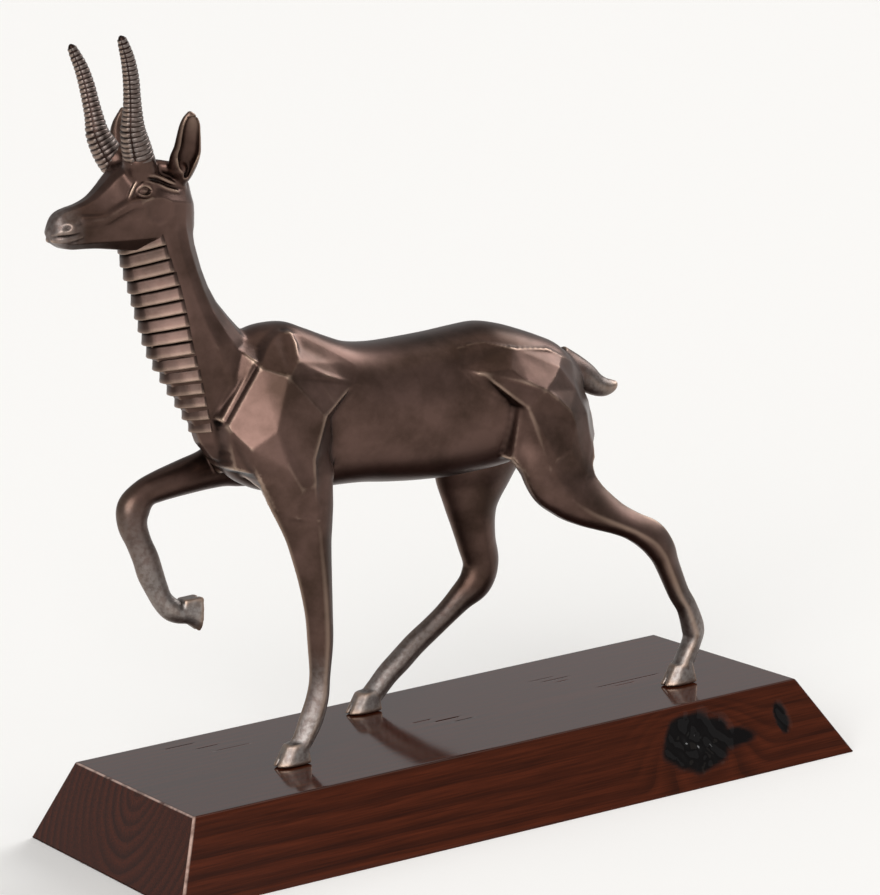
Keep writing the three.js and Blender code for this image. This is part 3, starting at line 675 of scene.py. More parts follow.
# strokes of the carving tool on the head: forward, left and up of each point
face = {
    "brow": [(23.4, 13, 327.4), (16, 17, 326.8), (8.4, 14.4, 324.2), (0.7, 13.2, 320.3),
             (-8.9, 10.8, 316.2)],
    "temple": [(7.5, 7, 328), (3, 7.9, 324), (-1.4, 8.4, 320), (-7.1, 7.8, 316.4)],
    "browGroove": [(17, 17.4, 324.8), (9, 15.2, 322.4), (2, 14.4, 319.2), (-4, 14, 316.6)],
    "fold": [(16, 15.8, 323.2), (9.3, 14.6, 320.4), (3, 14.8, 317), (-3, 14.4, 315)],
    "crease": [(20, 14.6, 325), (22.8, 13.8, 323), (25, 13.4, 320), (27, 13.4, 317), (28.8, 13.6, 314.7)],
    "creaseGroove": [(19.2, 15.4, 323.4), (21.6, 15, 321.6), (23.6, 14.9, 319.2), (25.4, 14.8, 316.4)],
    "upperLid": [(22.8, 13.7, 318.8), (20.8, 14.2, 320.8), (18.2, 14.9, 321.5), (15.8, 15.2, 320.2),
                 (13.8, 15.3, 317.6)],
    "lowerLid": [(22.8, 13.7, 318.8), (21, 14.6, 316.8), (18.8, 15.3, 315.8), (16.4, 15.5, 316),
                 (13.8, 15.3, 317.6)],
    "cheekRidge": [(53.9, 8, 307.8), (42, 10.4, 306.8), (35.1, 12, 309.4), (28.4, 13.6, 312),
                   (21.8, 15.1, 313.1), (16.8, 15.2, 313.6)],
    "jawPlane": [(46, 15, 300), (34, 18.6, 303), (25, 21, 306)],
    "nosePlane": [(56, 11.8, 312.6), (46, 13.6, 313.6), (37, 14.6, 316.6), (31, 15.2, 320.6)],
    "mouth": [(72, 0.5, 301.2), (71, 3.2, 301.1), (67.8, 6.9, 301.2), (63, 8.9, 301.2), (55.4, 10.2, 301.6)],
    "lip": [(70, 2.4, 299.2), (66.6, 5.6, 298.9), (61.6, 7.6, 299.2), (56, 8.6, 299.8)],
    "eye": (18.5, 13, 318.5), "socket": (18.6, 16.6, 318.6), "cheekRound": (12.6, 49.6, 304),
    "nostril": (65.2, 9.9, 305.8), "nostrilRim": (60.4, 7.4, 304.8),
    "hornRoot": [(12, 3, 312), (15, 7, 323), (17.4, 10.4, 333.4)],
}


def carveHead(clay):
    for side in (-1, 1):
        def bead(name, radii):
            rows = eased(np.column_stack([face[name], radii]), 3)
            return stroke(inHead(mirrored(rows[:, :3], side)), rows[:, 3])

        def knob(name, radii):
            return pebble(inHead(mirrored([face[name]], side))[0], radii)

        # the swelling that the horn grows from
        clay.add(bead("hornRoot", [10, 9.4, 8.8]), 2.6)
        # the planed side of the nose, the ridge below it, the jaw's plane and the round facet of the cheek
        clay.cut(bead("nosePlane", [2, 2.6, 2.4, 1.4]), 2.4)
        clay.cut(bead("jawPlane", [3, 4, 3]), 2.4)
        clay.add(bead("cheekRidge", [2.2, 2.6, 2.6, 2.7, 2.6, 2]), 2)
        clay.cut(knob("cheekRound", (34, 34, 34)), 0.4)
        # the brow and the bulge behind it
        clay.add(bead("temple", [2.6, 3.4, 3.4, 2.2]), 1.6)
        clay.cut(bead("browGroove", [0.6, 1.3, 1.3, 0.5]), 0.8)
        clay.add(bead("brow", [0.6, 1, 1.3, 1.3, 0.6]), 1)
        clay.add(bead("fold", [0.4, 0.9, 0.9, 0.4]), 0.8)
        # the eye in its socket, with two lids and the crease in front
        clay.cut(knob("socket", (5.4, 3.2, 3.6)), 1.4)
        clay.add(knob("eye", (3.2, 2.2, 2.3)), 0.3)
        clay.add(bead("upperLid", [0.4, 0.8, 0.9, 0.8, 0.4]), 0.5)
        clay.add(bead("lowerLid", [0.4, 0.6, 0.7, 0.6, 0.4]), 0.5)
        clay.cut(bead("creaseGroove", [0.4, 0.7, 0.7, 0.3]), 0.5)
        clay.add(bead("crease", [0.4, 0.7, 0.8, 0.7, 0.3]), 1)
        # nostril and mouth
        clay.add(knob("nostrilRim", (4.4, 3.2, 3.4)), 2.4)
        clay.cut(knob("nostril", (2.6, 1.8, 1.6)), 1.2)
        clay.add(bead("lip", [0.8, 1.2, 1.2, 0.6]), 1.4)
        clay.cut(bead("mouth", [0.5, 0.7, 0.75, 0.65, 0.2]), 0.4)
    print("head carved")


ear = {
    # forward, left, up, half width, half thickness
    "left": [
        (-6, 8, 316, 3.4, 3), (-6.6, 13, 322, 5.2, 4.4), (-4.6, 18.4, 329, 7.8, 5.2),
        (-3.6, 23, 335, 8.2, 5), (-3.8, 25.5, 340, 7.2, 4.6), (-4, 27.5, 346, 6.4, 4),
        (-4.2, 29, 351, 5.6, 3), (-4.4, 29.6, 355, 3.8, 2), (-4.4, 29.8, 358, 0.8, 0.7),
    ],
    # the right ear is held further out
    "right": [
        (-6, 8, 316, 3.4, 3), (-6.6, 14.6, 322, 5.2, 4.4), (-3.4, 24.6, 329, 7.2, 5.2),
        (0, 31, 335, 7.4, 5), (0, 33.6, 340, 7, 4.6), (-0.4, 34.6, 346, 6, 4), (-1, 34, 351, 4.6, 3),
        (-2, 32.6, 355, 3, 2), (-2.4, 32, 358, 0.8, 0.7),
    ],
    "yaw": 25.0, "sides": 40,
    # the hollow, row by row: share of the ear's width; it lies to the rear of a rolled front edge
    "hollow": [0, 0.2, 0.5, 0.68, 0.72, 0.76, 0.74, 0.6, 0], "hollowBack": 1.3, "hollowOut": 0.62,
    # the web from the crown to the ear's front root
    "web": [(5, 9, 329.5), (0, 12.5, 328), (-4, 16, 327.5)],
}


def leafForm(rows, side):
    c, s = math.cos(math.radians(ear["yaw"])), math.sin(math.radians(ear["yaw"]))
    turn = 2 * np.pi * np.arange(ear["sides"]) / ear["sides"]
    rings = []
    for forward, left, up, wide, thick in eased(rows, 5):
        across, out = wide * np.cos(turn), thick * np.sin(turn)
        ring = [forward + across * c + out * s, side * (left + out * c - across * s), np.full_like(turn, up)]
        rings.append(inHead(np.stack(ring, 1)))
    return skinned(rings)


def earInto(clay, side):
    own = clay.another()
    rows = ear["left"] if side > 0 else ear["right"]
    own.add(leafForm(rows, side), 0.5)
    hollow = []
    for (forward, left, up, wide, thick), share in zip(rows, ear["hollow"]):
        if share:
            out = ear["hollowOut"] + max(0, 0.5 - share)
            hollow.append((forward - ear["hollowBack"] + thick * 0.3, left + thick * out, up,
                           wide * share, thick * 1.1 * min(1, share * 1.6)))
    own.cut(leafForm(hollow, side), 0.5)
    own.add(stroke(inHead(mirrored(ear["web"], side)), [3.4, 3.4, 3.6]), 2.0)
    clay.depth = softUnion(clay.depth, own.depth, 1.6)


# the bronze in two halves that meet in the neck: grid steps, and the triangles each half may keep
steps = {"body": 0.75, "head": 0.45}
triangleLimits = {"body": 190000, "head": 150000}
neckJoint = 268.0


def bodyClay():
    clay = Clay((-172, -50, -2), (160, 56, neckJoint + 4), steps["body"])
    clay.add(trunkForm(), 1.0)
    clay.add(neckForm(), 4.4)
    lifted = {**shoulder["corners"], **shoulder["lifted"]}
    armFaces = shoulder["faces"] + shoulder["armFaces"]
    liftedFaces = shoulder["faces"] + shoulder["liftedFaces"]
    thighFaces = haunch["faces"] + haunch["thighFaces"]
    clay.add(facets(shoulder["corners"], armFaces, -1, foreFork), 1.6)
    clay.add(facets(lifted, liftedFaces, 1, foreFork, fade=shoulder["fade"]), 1.6)
    clay.add(facets(haunch["corners"], thighFaces, -1, hindFork), 2.6)
    clay.add(facets(haunch["corners"], haunch["faces"], 1, hindFork, haunch["swing"], haunch["fade"]), 2.6)
    for limb in limbs.values():
        clay.add(limbForm(limb), limb["soft"])
    print("trunk, neck and limbs joined")
    for at in hooves["standing"]:
        for form in hoofForms(at=at):
            clay.add(form, 1.2)
    for form in hoofForms(raised=True):
        clay.add(form, 1.2)
    clay.melt(1)
    return clay


def headClay():
    clay = Clay((-206, -42, neckJoint - 4), (-100, 44, 362), steps["head"])
    clay.add(neckForm(), 1.0)
    clay.add(headForm(), 2.6)
    clay.melt(2)
    carveHead(clay)
    for side in (-1, 1):
        earInto(clay, side)
    clay.melt(1)
    return clay


def closeRims(mesh):
    # The level cut at the neck gets a flat lid with a sharp rim: each half is a closed form, and the
    # skin shades across the joint as one.
    built = bmesh.new()
    built.from_mesh(mesh)
    rims = [edge for edge in built.edges if edge.is_boundary]
    lids = bmesh.ops.holes_fill(built, edges=rims, sides=0)["faces"]
    for face in built.faces:
        face.smooth = True
    for face in lids:
        face.smooth = False
    for edge in rims:
        edge.smooth = False
    built.to_mesh(mesh)
    built.free()


def meshOf(piece):
    # a copy of what the piece's modifiers make of it; the modifiers go
    depsgraph = bpy.context.evaluated_depsgraph_get()
    mesh = bpy.data.meshes.new_from_object(piece.evaluated_get(depsgraph))
    piece.modifiers.clear()
    return mesh


def bronzePiece(name, clay, keepAbove, triangleLimit):
    # the clay's skin, cut level at the neck's joint, thinned, with its worn edges marked: proud edges take a
    # paler tone that is also a painted highlight, hollows a darker tone that is also painted shade
    points, quads = clay.surface()
    piece = meshObject(name, points, quads[:, ::-1].tolist())
    mesh = piece.data
    built = bmesh.new()
    built.from_mesh(mesh)
    everything = built.verts[:] + built.edges[:] + built.faces[:]
    bmesh.ops.bisect_plane(built, geom=everything, plane_co=(0, 0, neckJoint), plane_no=(0, 0, 1),
                           clear_inner=keepAbove, clear_outer=not keepAbove)
    built.to_mesh(mesh)
    built.free()
    triangles = sum(len(p.vertices) - 2 for p in mesh.polygons)
    if triangles > triangleLimit:
        thin = piece.modifiers.new("thin", "DECIMATE")
        thin.ratio = triangleLimit / triangles
        piece.data = meshOf(piece)
        bpy.data.meshes.remove(mesh)
        mesh = piece.data
        mesh.name = name
    closeRims(mesh)
    places = placesOf(mesh)
    markWear(mesh, clay, places)
    mesh.vertices.foreach_set("co", toWorld(places).ravel())
    mesh.update()
    print(name, len(mesh.polygons), "faces")
    return piece


def blurred(field, passes):
    out = field.copy()
    for _ in range(passes):
        for axis in range(3):
            view = np.moveaxis(out, axis, 0)
            view[1:-1] = (view[:-2] + view[1:-1] + view[2:]) / 3
    return out


wear = {
    # rub: how far proud edges take the pale rubbed tone, wear and painted highlight; grime: how far hollows
    # darken, patina and painted shade
    "passes": 4, "threshold": 0.12, "rubAndHighlight": 1.7, "grime": 1.5,
    # heights above the plinth between which the feet lose their patina; there and on the raised forearm the
    # paler bare tone is also a painted highlight
    "footTop": 60.0, "footLow": 14.0, "raisedTop": 150.0, "raisedLow": 84.0, "raisedFront": -118.0,
    # from here up the head is rubbed by this share, and takes this share of the painted highlight on its
    # edges
    "earLow": 334.0, "earRubAndHighlight": 0.3,
    # the muzzle and the tail: where along the figure the patina thins, above a height, and how far it goes
    "muzzleBack": -186.0, "muzzleFront": -202.0, "muzzleLow": 290.0, "muzzleBare": 0.6,
    "tailFront": 104.0, "tailFull": 118.0, "tailLow": 158.0, "tailBare": 0.45,
}


def bareness(places):
    # the feet, the lifted hoof and the tail were left rough from the mould and keep less patina; on the
    # lower legs and along the raised forearm the paler bare tone is also a painted highlight
    x, y, z = places.T
    feet = ramped(z, wear["footTop"], wear["footLow"])
    lifted = ramped(z, wear["raisedTop"], wear["raisedLow"]) * (x < wear["raisedFront"])
    rump = ramped(x, wear["tailFront"], wear["tailFull"]) * (z > wear["tailLow"])
    muzzle = ramped(x, wear["muzzleBack"], wear["muzzleFront"]) * (z > wear["muzzleLow"])
    return np.maximum.reduce([feet, lifted, rump * wear["tailBare"], muzzle * wear["muzzleBare"]])


def setWear(mesh, rubAndHighlight, grime, bare):
    for name, value in (("rubAndHighlight", rubAndHighlight), ("grime", grime), ("bare", bare)):
        mark(mesh, name, np.clip(value, 0, 1))


def markWear(mesh, clay, places):
    # rub: edges that stand proud, polished by handling and painted paler as a highlight; grime: hollows that
    # hold the patina and are painted darker as shade
    soft = blurred(clay.depth, wear["passes"])
    bend = (clay.sample(places, soft) - clay.sample(places)) / clay.step
    rubAndHighlightShare = np.where(places[:, 2] > wear["earLow"], wear["earRubAndHighlight"], 1.0)
    rubAndHighlight = (bend - wear["threshold"]) * wear["rubAndHighlight"] * rubAndHighlightShare
    setWear(mesh, rubAndHighlight, -bend * wear["grime"], bareness(places))


body = bronzePiece("antelopeBody", bodyClay(), False, triangleLimits["body"])
headPiece = bronzePiece("antelopeHead", headClay(), True, triangleLimits["head"])

bronzeLook = {
    # bare: the grey of bare metal, on the legs also a painted highlight
    # rubbed: the pale tone of worn edges and a painted highlight; grime: the dark tone of hollows and
    # painted shade
    "patina": "#40312a", "warm": "#5f4a43", "rubbedAndHighlight": "#b39a88", "grime": "#17110f", "bare": "#8d8682",
    "roughness": 0.36, "bareRoughness": 0.46,
    # millimetres
    "blotchSize": 34.0, "speckSize": 2.6, "grainSize": 1.1, "grainDepth": 0.4,
}


def blend(tree, share, under, over):
    # over laid on under by a share; each of the three is a value or a socket
    made = addNode(tree, "ShaderNodeMix", {"data_type": "RGBA"}, {"Factor": share})
    for slot, value in ((6, under), (7, over)):
        if isinstance(value, bpy.types.NodeSocket):
            tree.links.new(value, made.inputs[slot])
        else:
            made.inputs[slot].default_value = value
    return made.outputs[2]


def noise(tree, vector, millimetres, detail, roughness=0.5):
    # clouds of about this size
    made = addNode(tree, "ShaderNodeTexNoise", None, {
        "Vector": vector, "Scale": 1000 / millimetres, "Detail": detail, "Roughness": roughness})
    return made.outputs["Fac"]


def remap(tree, value, source, target):
    return addNode(tree, "ShaderNodeMapRange", None, {
        "Value": value, "From Min": source[0], "From Max": source[1], "To Min": target[0],
        "To Max": target[1]}).outputs["Result"]


def product(tree, one, two):
    return addNode(tree, "ShaderNodeMath", {"operation": "MULTIPLY"}, {0: one, 1: two}).outputs["Value"]


def vectors(tree, operation, first, second):
    # the second is a number where the first is scaled, and a vector in any other case
    slot = "Scale" if operation == "SCALE" else 1
    made = addNode(tree, "ShaderNodeVectorMath", {"operation": operation}, {0: first, slot: second})
    return made.outputs["Vector"]


def newMaterial(name, look, tones, marks):
    # the material, its tree, the shader's inputs, the places to colour, the tones and the marks on the mesh
    made = bpy.data.materials.new(name)
    made.use_nodes = True
    tree = made.node_tree
    where = addNode(tree, "ShaderNodeTexCoord").outputs["Object"]
    tone = {name: linear(look[name]) for name in tones}
    values = [addNode(tree, "ShaderNodeAttribute", {"attribute_name": name}).outputs["Fac"]
              for name in marks]
    return made, tree, tree.nodes["Principled BSDF"].inputs, where, tone, values


def bronzeMaterial():
    # cast bronze, hot patinated brown, waxed and rubbed: a satin metal, paler where hands reach, with a
    # painted highlight on the proud edges and painted shade in the hollows
    made, tree, shader, where, tone, (rubAndHighlight, grime, bare) = newMaterial(
        "patinatedBronze", bronzeLook, ("patina", "warm", "rubbedAndHighlight", "grime", "bare"),
        ("rubAndHighlight", "grime", "bare"))
    # blotches where the patina took more or less
    blotch = noise(tree, where, bronzeLook["blotchSize"], 5.0, 0.6)
    base = blend(tree, remap(tree, blotch, (0.36, 0.64), (0, 1)), tone["patina"], tone["warm"])
    # the bare parts show through in specks, paler: bare metal, on the legs also a painted highlight
    speck = remap(tree, noise(tree, where, bronzeLook["speckSize"], 3.0), (0.38, 0.6), (0.5, 1))
    colour = blend(tree, product(tree, bare, speck), base, tone["bare"])
    # paler on proud edges, rubbed wear and a painted highlight; darker in hollows, patina and painted shade
    colour = blend(tree, rubAndHighlight, colour, tone["rubbedAndHighlight"])
    colour = blend(tree, grime, colour, tone["grime"])
    tree.links.new(colour, shader["Base Color"])
    shader["Metallic"].default_value = 1.0
    # waxed parts shine more evenly than the rough ones
    gloss = remap(tree, bare, (0, 1), (bronzeLook["roughness"], bronzeLook["bareRoughness"]))
    tree.links.new(gloss, shader["Roughness"])
    grain = noise(tree, where, bronzeLook["grainSize"], 3.0)
    rough = remap(tree, bare, (0, 1), (0.06, 0.35))
    bump = addNode(tree, "ShaderNodeBump", None, {
        "Height": grain, "Distance": bronzeLook["grainDepth"] * mm, "Strength": rough})
    tree.links.new(bump.outputs["Normal"], shader["Normal"])
    return made


bronze = bronzeMaterial()
for piece in (body, headPiece):
    piece.data.materials.append(bronze)


def newTree(name, inputs):
    tree = bpy.data.node_groups.new(name, "GeometryNodeTree")
    ids = {}
    tree.interface.new_socket("Geometry", in_out="INPUT", socket_type="NodeSocketGeometry")
    for label, kind in inputs:
        ids[label] = tree.interface.new_socket(label, in_out="INPUT", socket_type=kind).identifier
    tree.interface.new_socket("Geometry", in_out="OUTPUT", socket_type="NodeSocketGeometry")
    return tree, ids


def endTree(tree, geometry, material):
    real = addNode(tree, "GeometryNodeRealizeInstances", None, {"Geometry": geometry})
    coat = addNode(tree, "GeometryNodeSetMaterial", None,
                   {"Geometry": real.outputs["Geometry"], "Material": material})
    addNode(tree, "NodeGroupOutput", None, {"Geometry": coat.outputs["Geometry"]})


def settle(name, carrier, copied, tree, ids, values):
    # runs the tree on the carrier and keeps the result as a plain mesh; the carrier and its copied part go
    step = carrier.modifiers.new("tree", "NODES")
    step.node_group = tree
    for label, value in values.items():
        step[ids[label]] = value
    mesh = meshOf(carrier)
    mesh.name = name
    made = bpy.data.objects.new(name, mesh)
    bpy.context.collection.objects.link(made)
    bpy.data.objects.remove(carrier)
    bpy.data.objects.remove(copied)
    return made


slat = {
    "reach": 18.0, "band": 15.6, "across": 25,
    # how far each point of the profile stands off the throat, and its height in slat pitches
    "profile": [(-2.2, 0.50), (0.05, 0.50), (0.55, 0.22), (1.05, -0.12), (1.5, -0.36), (1.55, -0.43),
                (1.3, -0.48), (0.2, -0.5), (-2.2, -0.5)],
    # rub and grime for each profile point: a painted highlight with wear on the slat's proud lower edge,
    # painted shade with patina where the slat above overhangs and on the underside
    "rubAndHighlight": [0, 0, 0, 0, 0.25, 0.5, 0.2, 0, 0], "grime": [1, 0.8, 0.35, 0.1, 0, 0, 0.3, 1, 1], "bare": 0.06,
}


def slatShape():
    # one slat round the throat, in millimetres, its front at x = 0
    reach, band = slat["reach"], slat["band"]
    corners = np.array([(reach, -band), (reach * 0.5, -0.7 * band), (0, -0.25 * band),
                        (0, 0.25 * band), (reach * 0.5, 0.7 * band), (reach, band)])
    lengths = np.r_[0, np.cumsum(np.linalg.norm(np.diff(corners, axis=0), axis=1))]
    way = np.linspace(0, lengths[-1], slat["across"])
    line = np.stack([np.interp(way, lengths, corners[:, i]) for i in (0, 1)], 1)
    line[1:-1] = 0.2 * line[:-2] + 0.6 * line[1:-1] + 0.2 * line[2:]
    along = np.gradient(line, axis=0)
    outward = unit(np.stack([-along[:, 1], along[:, 0]], 1))
    outward = np.where((outward[:, :1] * (reach - line[:, :1]) > 0), -outward, outward)
    pitch = (slats["top"] - slats["bottom"]) / slats["count"]
    points = []
    for place, away in zip(line, outward):
        for off, up in slat["profile"]:
            points.append((*(place + away * off), up * pitch))
    n = len(slat["profile"])
    faces = [(i * n + j, i * n + (j + 1) % n, (i + 1) * n + (j + 1) % n, (i + 1) * n + j)
             for i in range(slat["across"] - 1) for j in range(n)]
    faces += [tuple(range(n)), tuple(reversed([(slat["across"] - 1) * n + j for j in range(n)]))]
    return points, faces


def throatSlats():
    pitch = (slats["top"] - slats["bottom"]) / slats["count"]
    spots, scales, leans = [], [], []
    for i in range(slats["count"]):
        z = slats["top"] - (i + 0.5) * pitch
        front, back, wide, reach, band = neckAt(z)
        spots.append((front + 0.6, 0, z))
        scales.append((reach / slat["reach"], band / slat["band"], 1.0))
        leans.append((0, -math.atan(slatTilt(z)), 0))
    carrier = meshObject("slatPlaces", spots, [])
    mark(carrier.data, "size", scales)
    mark(carrier.data, "lean", leans)
    shape = meshObject("oneSlat", *slatShape())
    orient(shape.data)
    setWear(shape.data, np.tile(slat["rubAndHighlight"], slat["across"]), np.tile(slat["grime"], slat["across"]),
            np.full(slat["across"] * len(slat["profile"]), slat["bare"]))
    tree, ids = newTree("slatRow", [("Slat", "NodeSocketObject"), ("Thickness", "NodeSocketFloat"),
                                    ("Bronze", "NodeSocketMaterial")])
    feed = addNode(tree, "NodeGroupInput")
    one = addNode(tree, "GeometryNodeObjectInfo", None, {"Object": feed.outputs["Slat"]})
    size = addNode(tree, "GeometryNodeInputNamedAttribute", {"data_type": "FLOAT_VECTOR"}, {"Name": "size"})
    lean = addNode(tree, "GeometryNodeInputNamedAttribute", {"data_type": "FLOAT_VECTOR"}, {"Name": "lean"})
    scale = vectors(tree, "SCALE", size.outputs["Attribute"], feed.outputs["Thickness"])
    places = addNode(tree, "GeometryNodeMeshToPoints", None, {"Mesh": feed.outputs["Geometry"]})
    turn = addNode(tree, "FunctionNodeEulerToRotation", None, {"Euler": lean.outputs["Attribute"]})
    row = addNode(tree, "GeometryNodeInstanceOnPoints", None,
                  {"Points": places.outputs["Points"], "Instance": one.outputs["Geometry"],
                   "Rotation": turn.outputs["Rotation"], "Scale": scale})
    endTree(tree, row.outputs["Instances"], feed.outputs["Bronze"])
    values = {"Slat": shape, "Thickness": 1.0, "Bronze": bronze}
    return settle("throatSlats", carrier, shape, tree, ids, values)


horn = {
    # forward, left, up, radius
    "stations": [
        (14.4, 6, 322, 7), (17.4, 10.8, 334, 8), (19.6, 12.4, 343, 7.5), (21, 13.4, 351, 6.4),
        (20.8, 14.4, 360, 5.1), (20.8, 15.4, 368, 4.5), (21.2, 16.8, 378, 4.2), (22.6, 18, 387.5, 3.7),
        (24.6, 19, 394.4, 3.1), (26, 19.5, 398.7, 2.4), (26.6, 19.6, 400.3, 1.5), (26.8, 19.7, 401.1, 0.5),
    ],
    "rings": 28, "ringStart": 0.15, "ringEnd": 0.965, "ringSides": 48, "core": 0.97,
    # grime: the core between the rings is darkened, patina and painted shade
    "bare": 0.5, "grime": 0.75,
    # the right horn stands ahead of the left one and lower: share of the height, how far ahead; drop
    "rightAhead": [(0, -4), (0.12, -0.8), (0.25, 2.6), (0.4, 5.2), (0.6, 6.2), (1, 6.6)],
    "rightDrop": (3.6, 4.6),
    # how far the ring stands out round the horn: degrees from its front, share of the horn's radius
    "relief": [(0, 1.06), (38, 1.06), (46, 1.01), (52, 0.93), (58, 1.01), (66, 1.03), (120, 1.03),
               (180, 1.04)],
    # across the ring: share of the relief kept, height
    "profile": [(0.70, -0.17), (0.95, -0.15), (0.985, -0.09), (1.0, 0), (0.985, 0.09), (0.95, 0.15),
                (0.70, 0.17)],
    # the ring's height where the horn is thinnest and at its root
    "ringHeight": (4.6, 8.6), "rootRadius": 8.0,
}


def hornLine(side):
    rows = eased(horn["stations"], 7)
    root, tip = horn["stations"][0][2], horn["stations"][-1][2]
    out = []
    for forward, left, up, radius in rows:
        share = (up - root) / (tip - root)
        ahead = drop = 0
        if side < 0:
            ahead = float(np.interp(share, *np.array(horn["rightAhead"]).T))
            drop = horn["rightDrop"][0] + (horn["rightDrop"][1] - horn["rightDrop"][0]) * share
        out.append((*inHead((forward + ahead, side * left, up - drop))[0], max(radius, 0.3)))
    return np.array(out)


def ringShape():
    turn = 2 * np.pi * np.arange(horn["ringSides"]) / horn["ringSides"]
    angle = np.degrees(np.where(turn > np.pi, 2 * np.pi - turn, turn))
    relief = np.interp(angle, *np.array(horn["relief"]).T)
    points, faces = [], []
    n = len(horn["profile"])
    for t, r in zip(turn, relief):
        points += [(r * share * math.cos(t), r * share * math.sin(t), up) for share, up in horn["profile"]]
    for i in range(horn["ringSides"]):
        k = (i + 1) % horn["ringSides"]
        faces += [(i * n + j, k * n + j, k * n + (j + 1) % n, i * n + (j + 1) % n) for j in range(n)]
    proud = np.linalg.norm(np.array(points)[:, :2], axis=1)
    return points, faces, proud, np.repeat(angle, n)


def ringedHorn(side):
    line = hornLine(side)
    carrier = meshObject("hornLine", line[:, :3], [], [(i, i + 1) for i in range(len(line) - 1)])
    mark(carrier.data, "thick", line[:, 3])
    points, faces, proud, angle = ringShape()
    ring = meshObject("oneRing", points, faces)
    orient(ring.data)
    # the front of each ring is rubbed and painted paler as a highlight, its lower flanks hold grime and are
    # painted darker as shade
    setWear(ring.data, ramped(proud, 1.02, 1.07) * ramped(angle, 110, 20) * 0.6,
            ramped(proud, 1.0, 0.9) * 0.8, np.full(len(proud), horn["bare"]))
    tree, ids = newTree("hornRings", [("Ring", "NodeSocketObject"), ("Rings", "NodeSocketInt"),
                                      ("Start", "NodeSocketFloat"), ("End", "NodeSocketFloat"),
                                      ("Core", "NodeSocketFloat"), ("Forward", "NodeSocketVector"),
                                      ("Bronze", "NodeSocketMaterial")])
    feed = addNode(tree, "NodeGroupInput").outputs
    thick = addNode(tree, "GeometryNodeInputNamedAttribute", {"data_type": "FLOAT"}, {"Name": "thick"})
    girth = thick.outputs["Attribute"]
    spine = addNode(tree, "GeometryNodeMeshToCurve", None, {"Mesh": feed["Geometry"]}).outputs["Curve"]
    # the smooth core under the rings
    circle = addNode(tree, "GeometryNodeCurvePrimitiveCircle", None, {"Resolution": 32, "Radius": 1.0})
    tube = addNode(tree, "GeometryNodeCurveToMesh", None, {
        "Curve": spine, "Profile Curve": circle.outputs["Curve"], "Fill Caps": True,
        "Scale": product(tree, girth, feed["Core"])})
    # the rings, spaced along it
    part = addNode(tree, "GeometryNodeTrimCurve", {"mode": "FACTOR"},
                   {"Curve": spine, "Start": feed["Start"], "End": feed["End"]})
    places = addNode(tree, "GeometryNodeCurveToPoints", {"mode": "COUNT"},
                     {"Curve": part.outputs["Curve"], "Count": feed["Rings"]})
    upright = addNode(tree, "FunctionNodeAlignRotationToVector", {"axis": "Z"},
                      {"Vector": places.outputs["Tangent"]})
    facing = addNode(tree, "FunctionNodeAlignRotationToVector", {"axis": "X", "pivot_axis": "Z"},
                     {"Rotation": upright.outputs["Rotation"], "Vector": feed["Forward"]})
    # a ring's girth follows the horn's in full, its height only in part
    height = remap(tree, girth, (0, horn["rootRadius"]), horn["ringHeight"])
    scale = addNode(tree, "ShaderNodeCombineXYZ", None, {"X": girth, "Y": girth, "Z": height})
    one = addNode(tree, "GeometryNodeObjectInfo", None, {"Object": feed["Ring"]})
    row = addNode(tree, "GeometryNodeInstanceOnPoints", None,
                  {"Points": places.outputs["Points"], "Instance": one.outputs["Geometry"],
                   "Rotation": facing.outputs["Rotation"], "Scale": scale.outputs["Vector"]})
    # the core between the rings takes the dark grime tone: patina and painted shade
    grooves = addNode(tree, "GeometryNodeStoreNamedAttribute", {"data_type": "FLOAT", "domain": "POINT"},
                      {"Geometry": tube.outputs["Mesh"], "Name": "grime", "Value": horn["grime"]})
    both = addNode(tree, "GeometryNodeJoinGeometry")
    tree.links.new(grooves.outputs["Geometry"], both.inputs["Geometry"])
    tree.links.new(row.outputs["Instances"], both.inputs["Geometry"])
    endTree(tree, both.outputs["Geometry"], feed["Bronze"])
    name = "leftHorn" if side > 0 else "rightHorn"
    values = {"Ring": ring, "Rings": horn["rings"], "Start": horn["ringStart"], "End": horn["ringEnd"],
              "Core": horn["core"], "Forward": (-1.0, 0.0, 0.0), "Bronze": bronze}
    return settle(name, carrier, ring, tree, ids, values)


def finishSmall(piece):
    # to the frame's metres, facing out and smooth
    mesh = piece.data
    orient(mesh)
    mesh.vertices.foreach_set("co", toWorld(placesOf(mesh)).ravel())
    for name in [a.name for a in mesh.attributes if a.name in ("size", "lean", "thick")]:
        mesh.attributes.remove(mesh.attributes[name])
    mesh.polygons.foreach_set("use_smooth", [True] * len(mesh.polygons))
    mesh.update()
    print(piece.name, len(mesh.polygons), "faces")


slatRow = throatSlats()
horns = [ringedHorn(1), ringedHorn(-1)]
for piece in (slatRow, *horns):
    finishSmall(piece)
for piece in (body, headPiece, slatRow, *horns):
    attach(piece, "root")
    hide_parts("bronze_antelope")

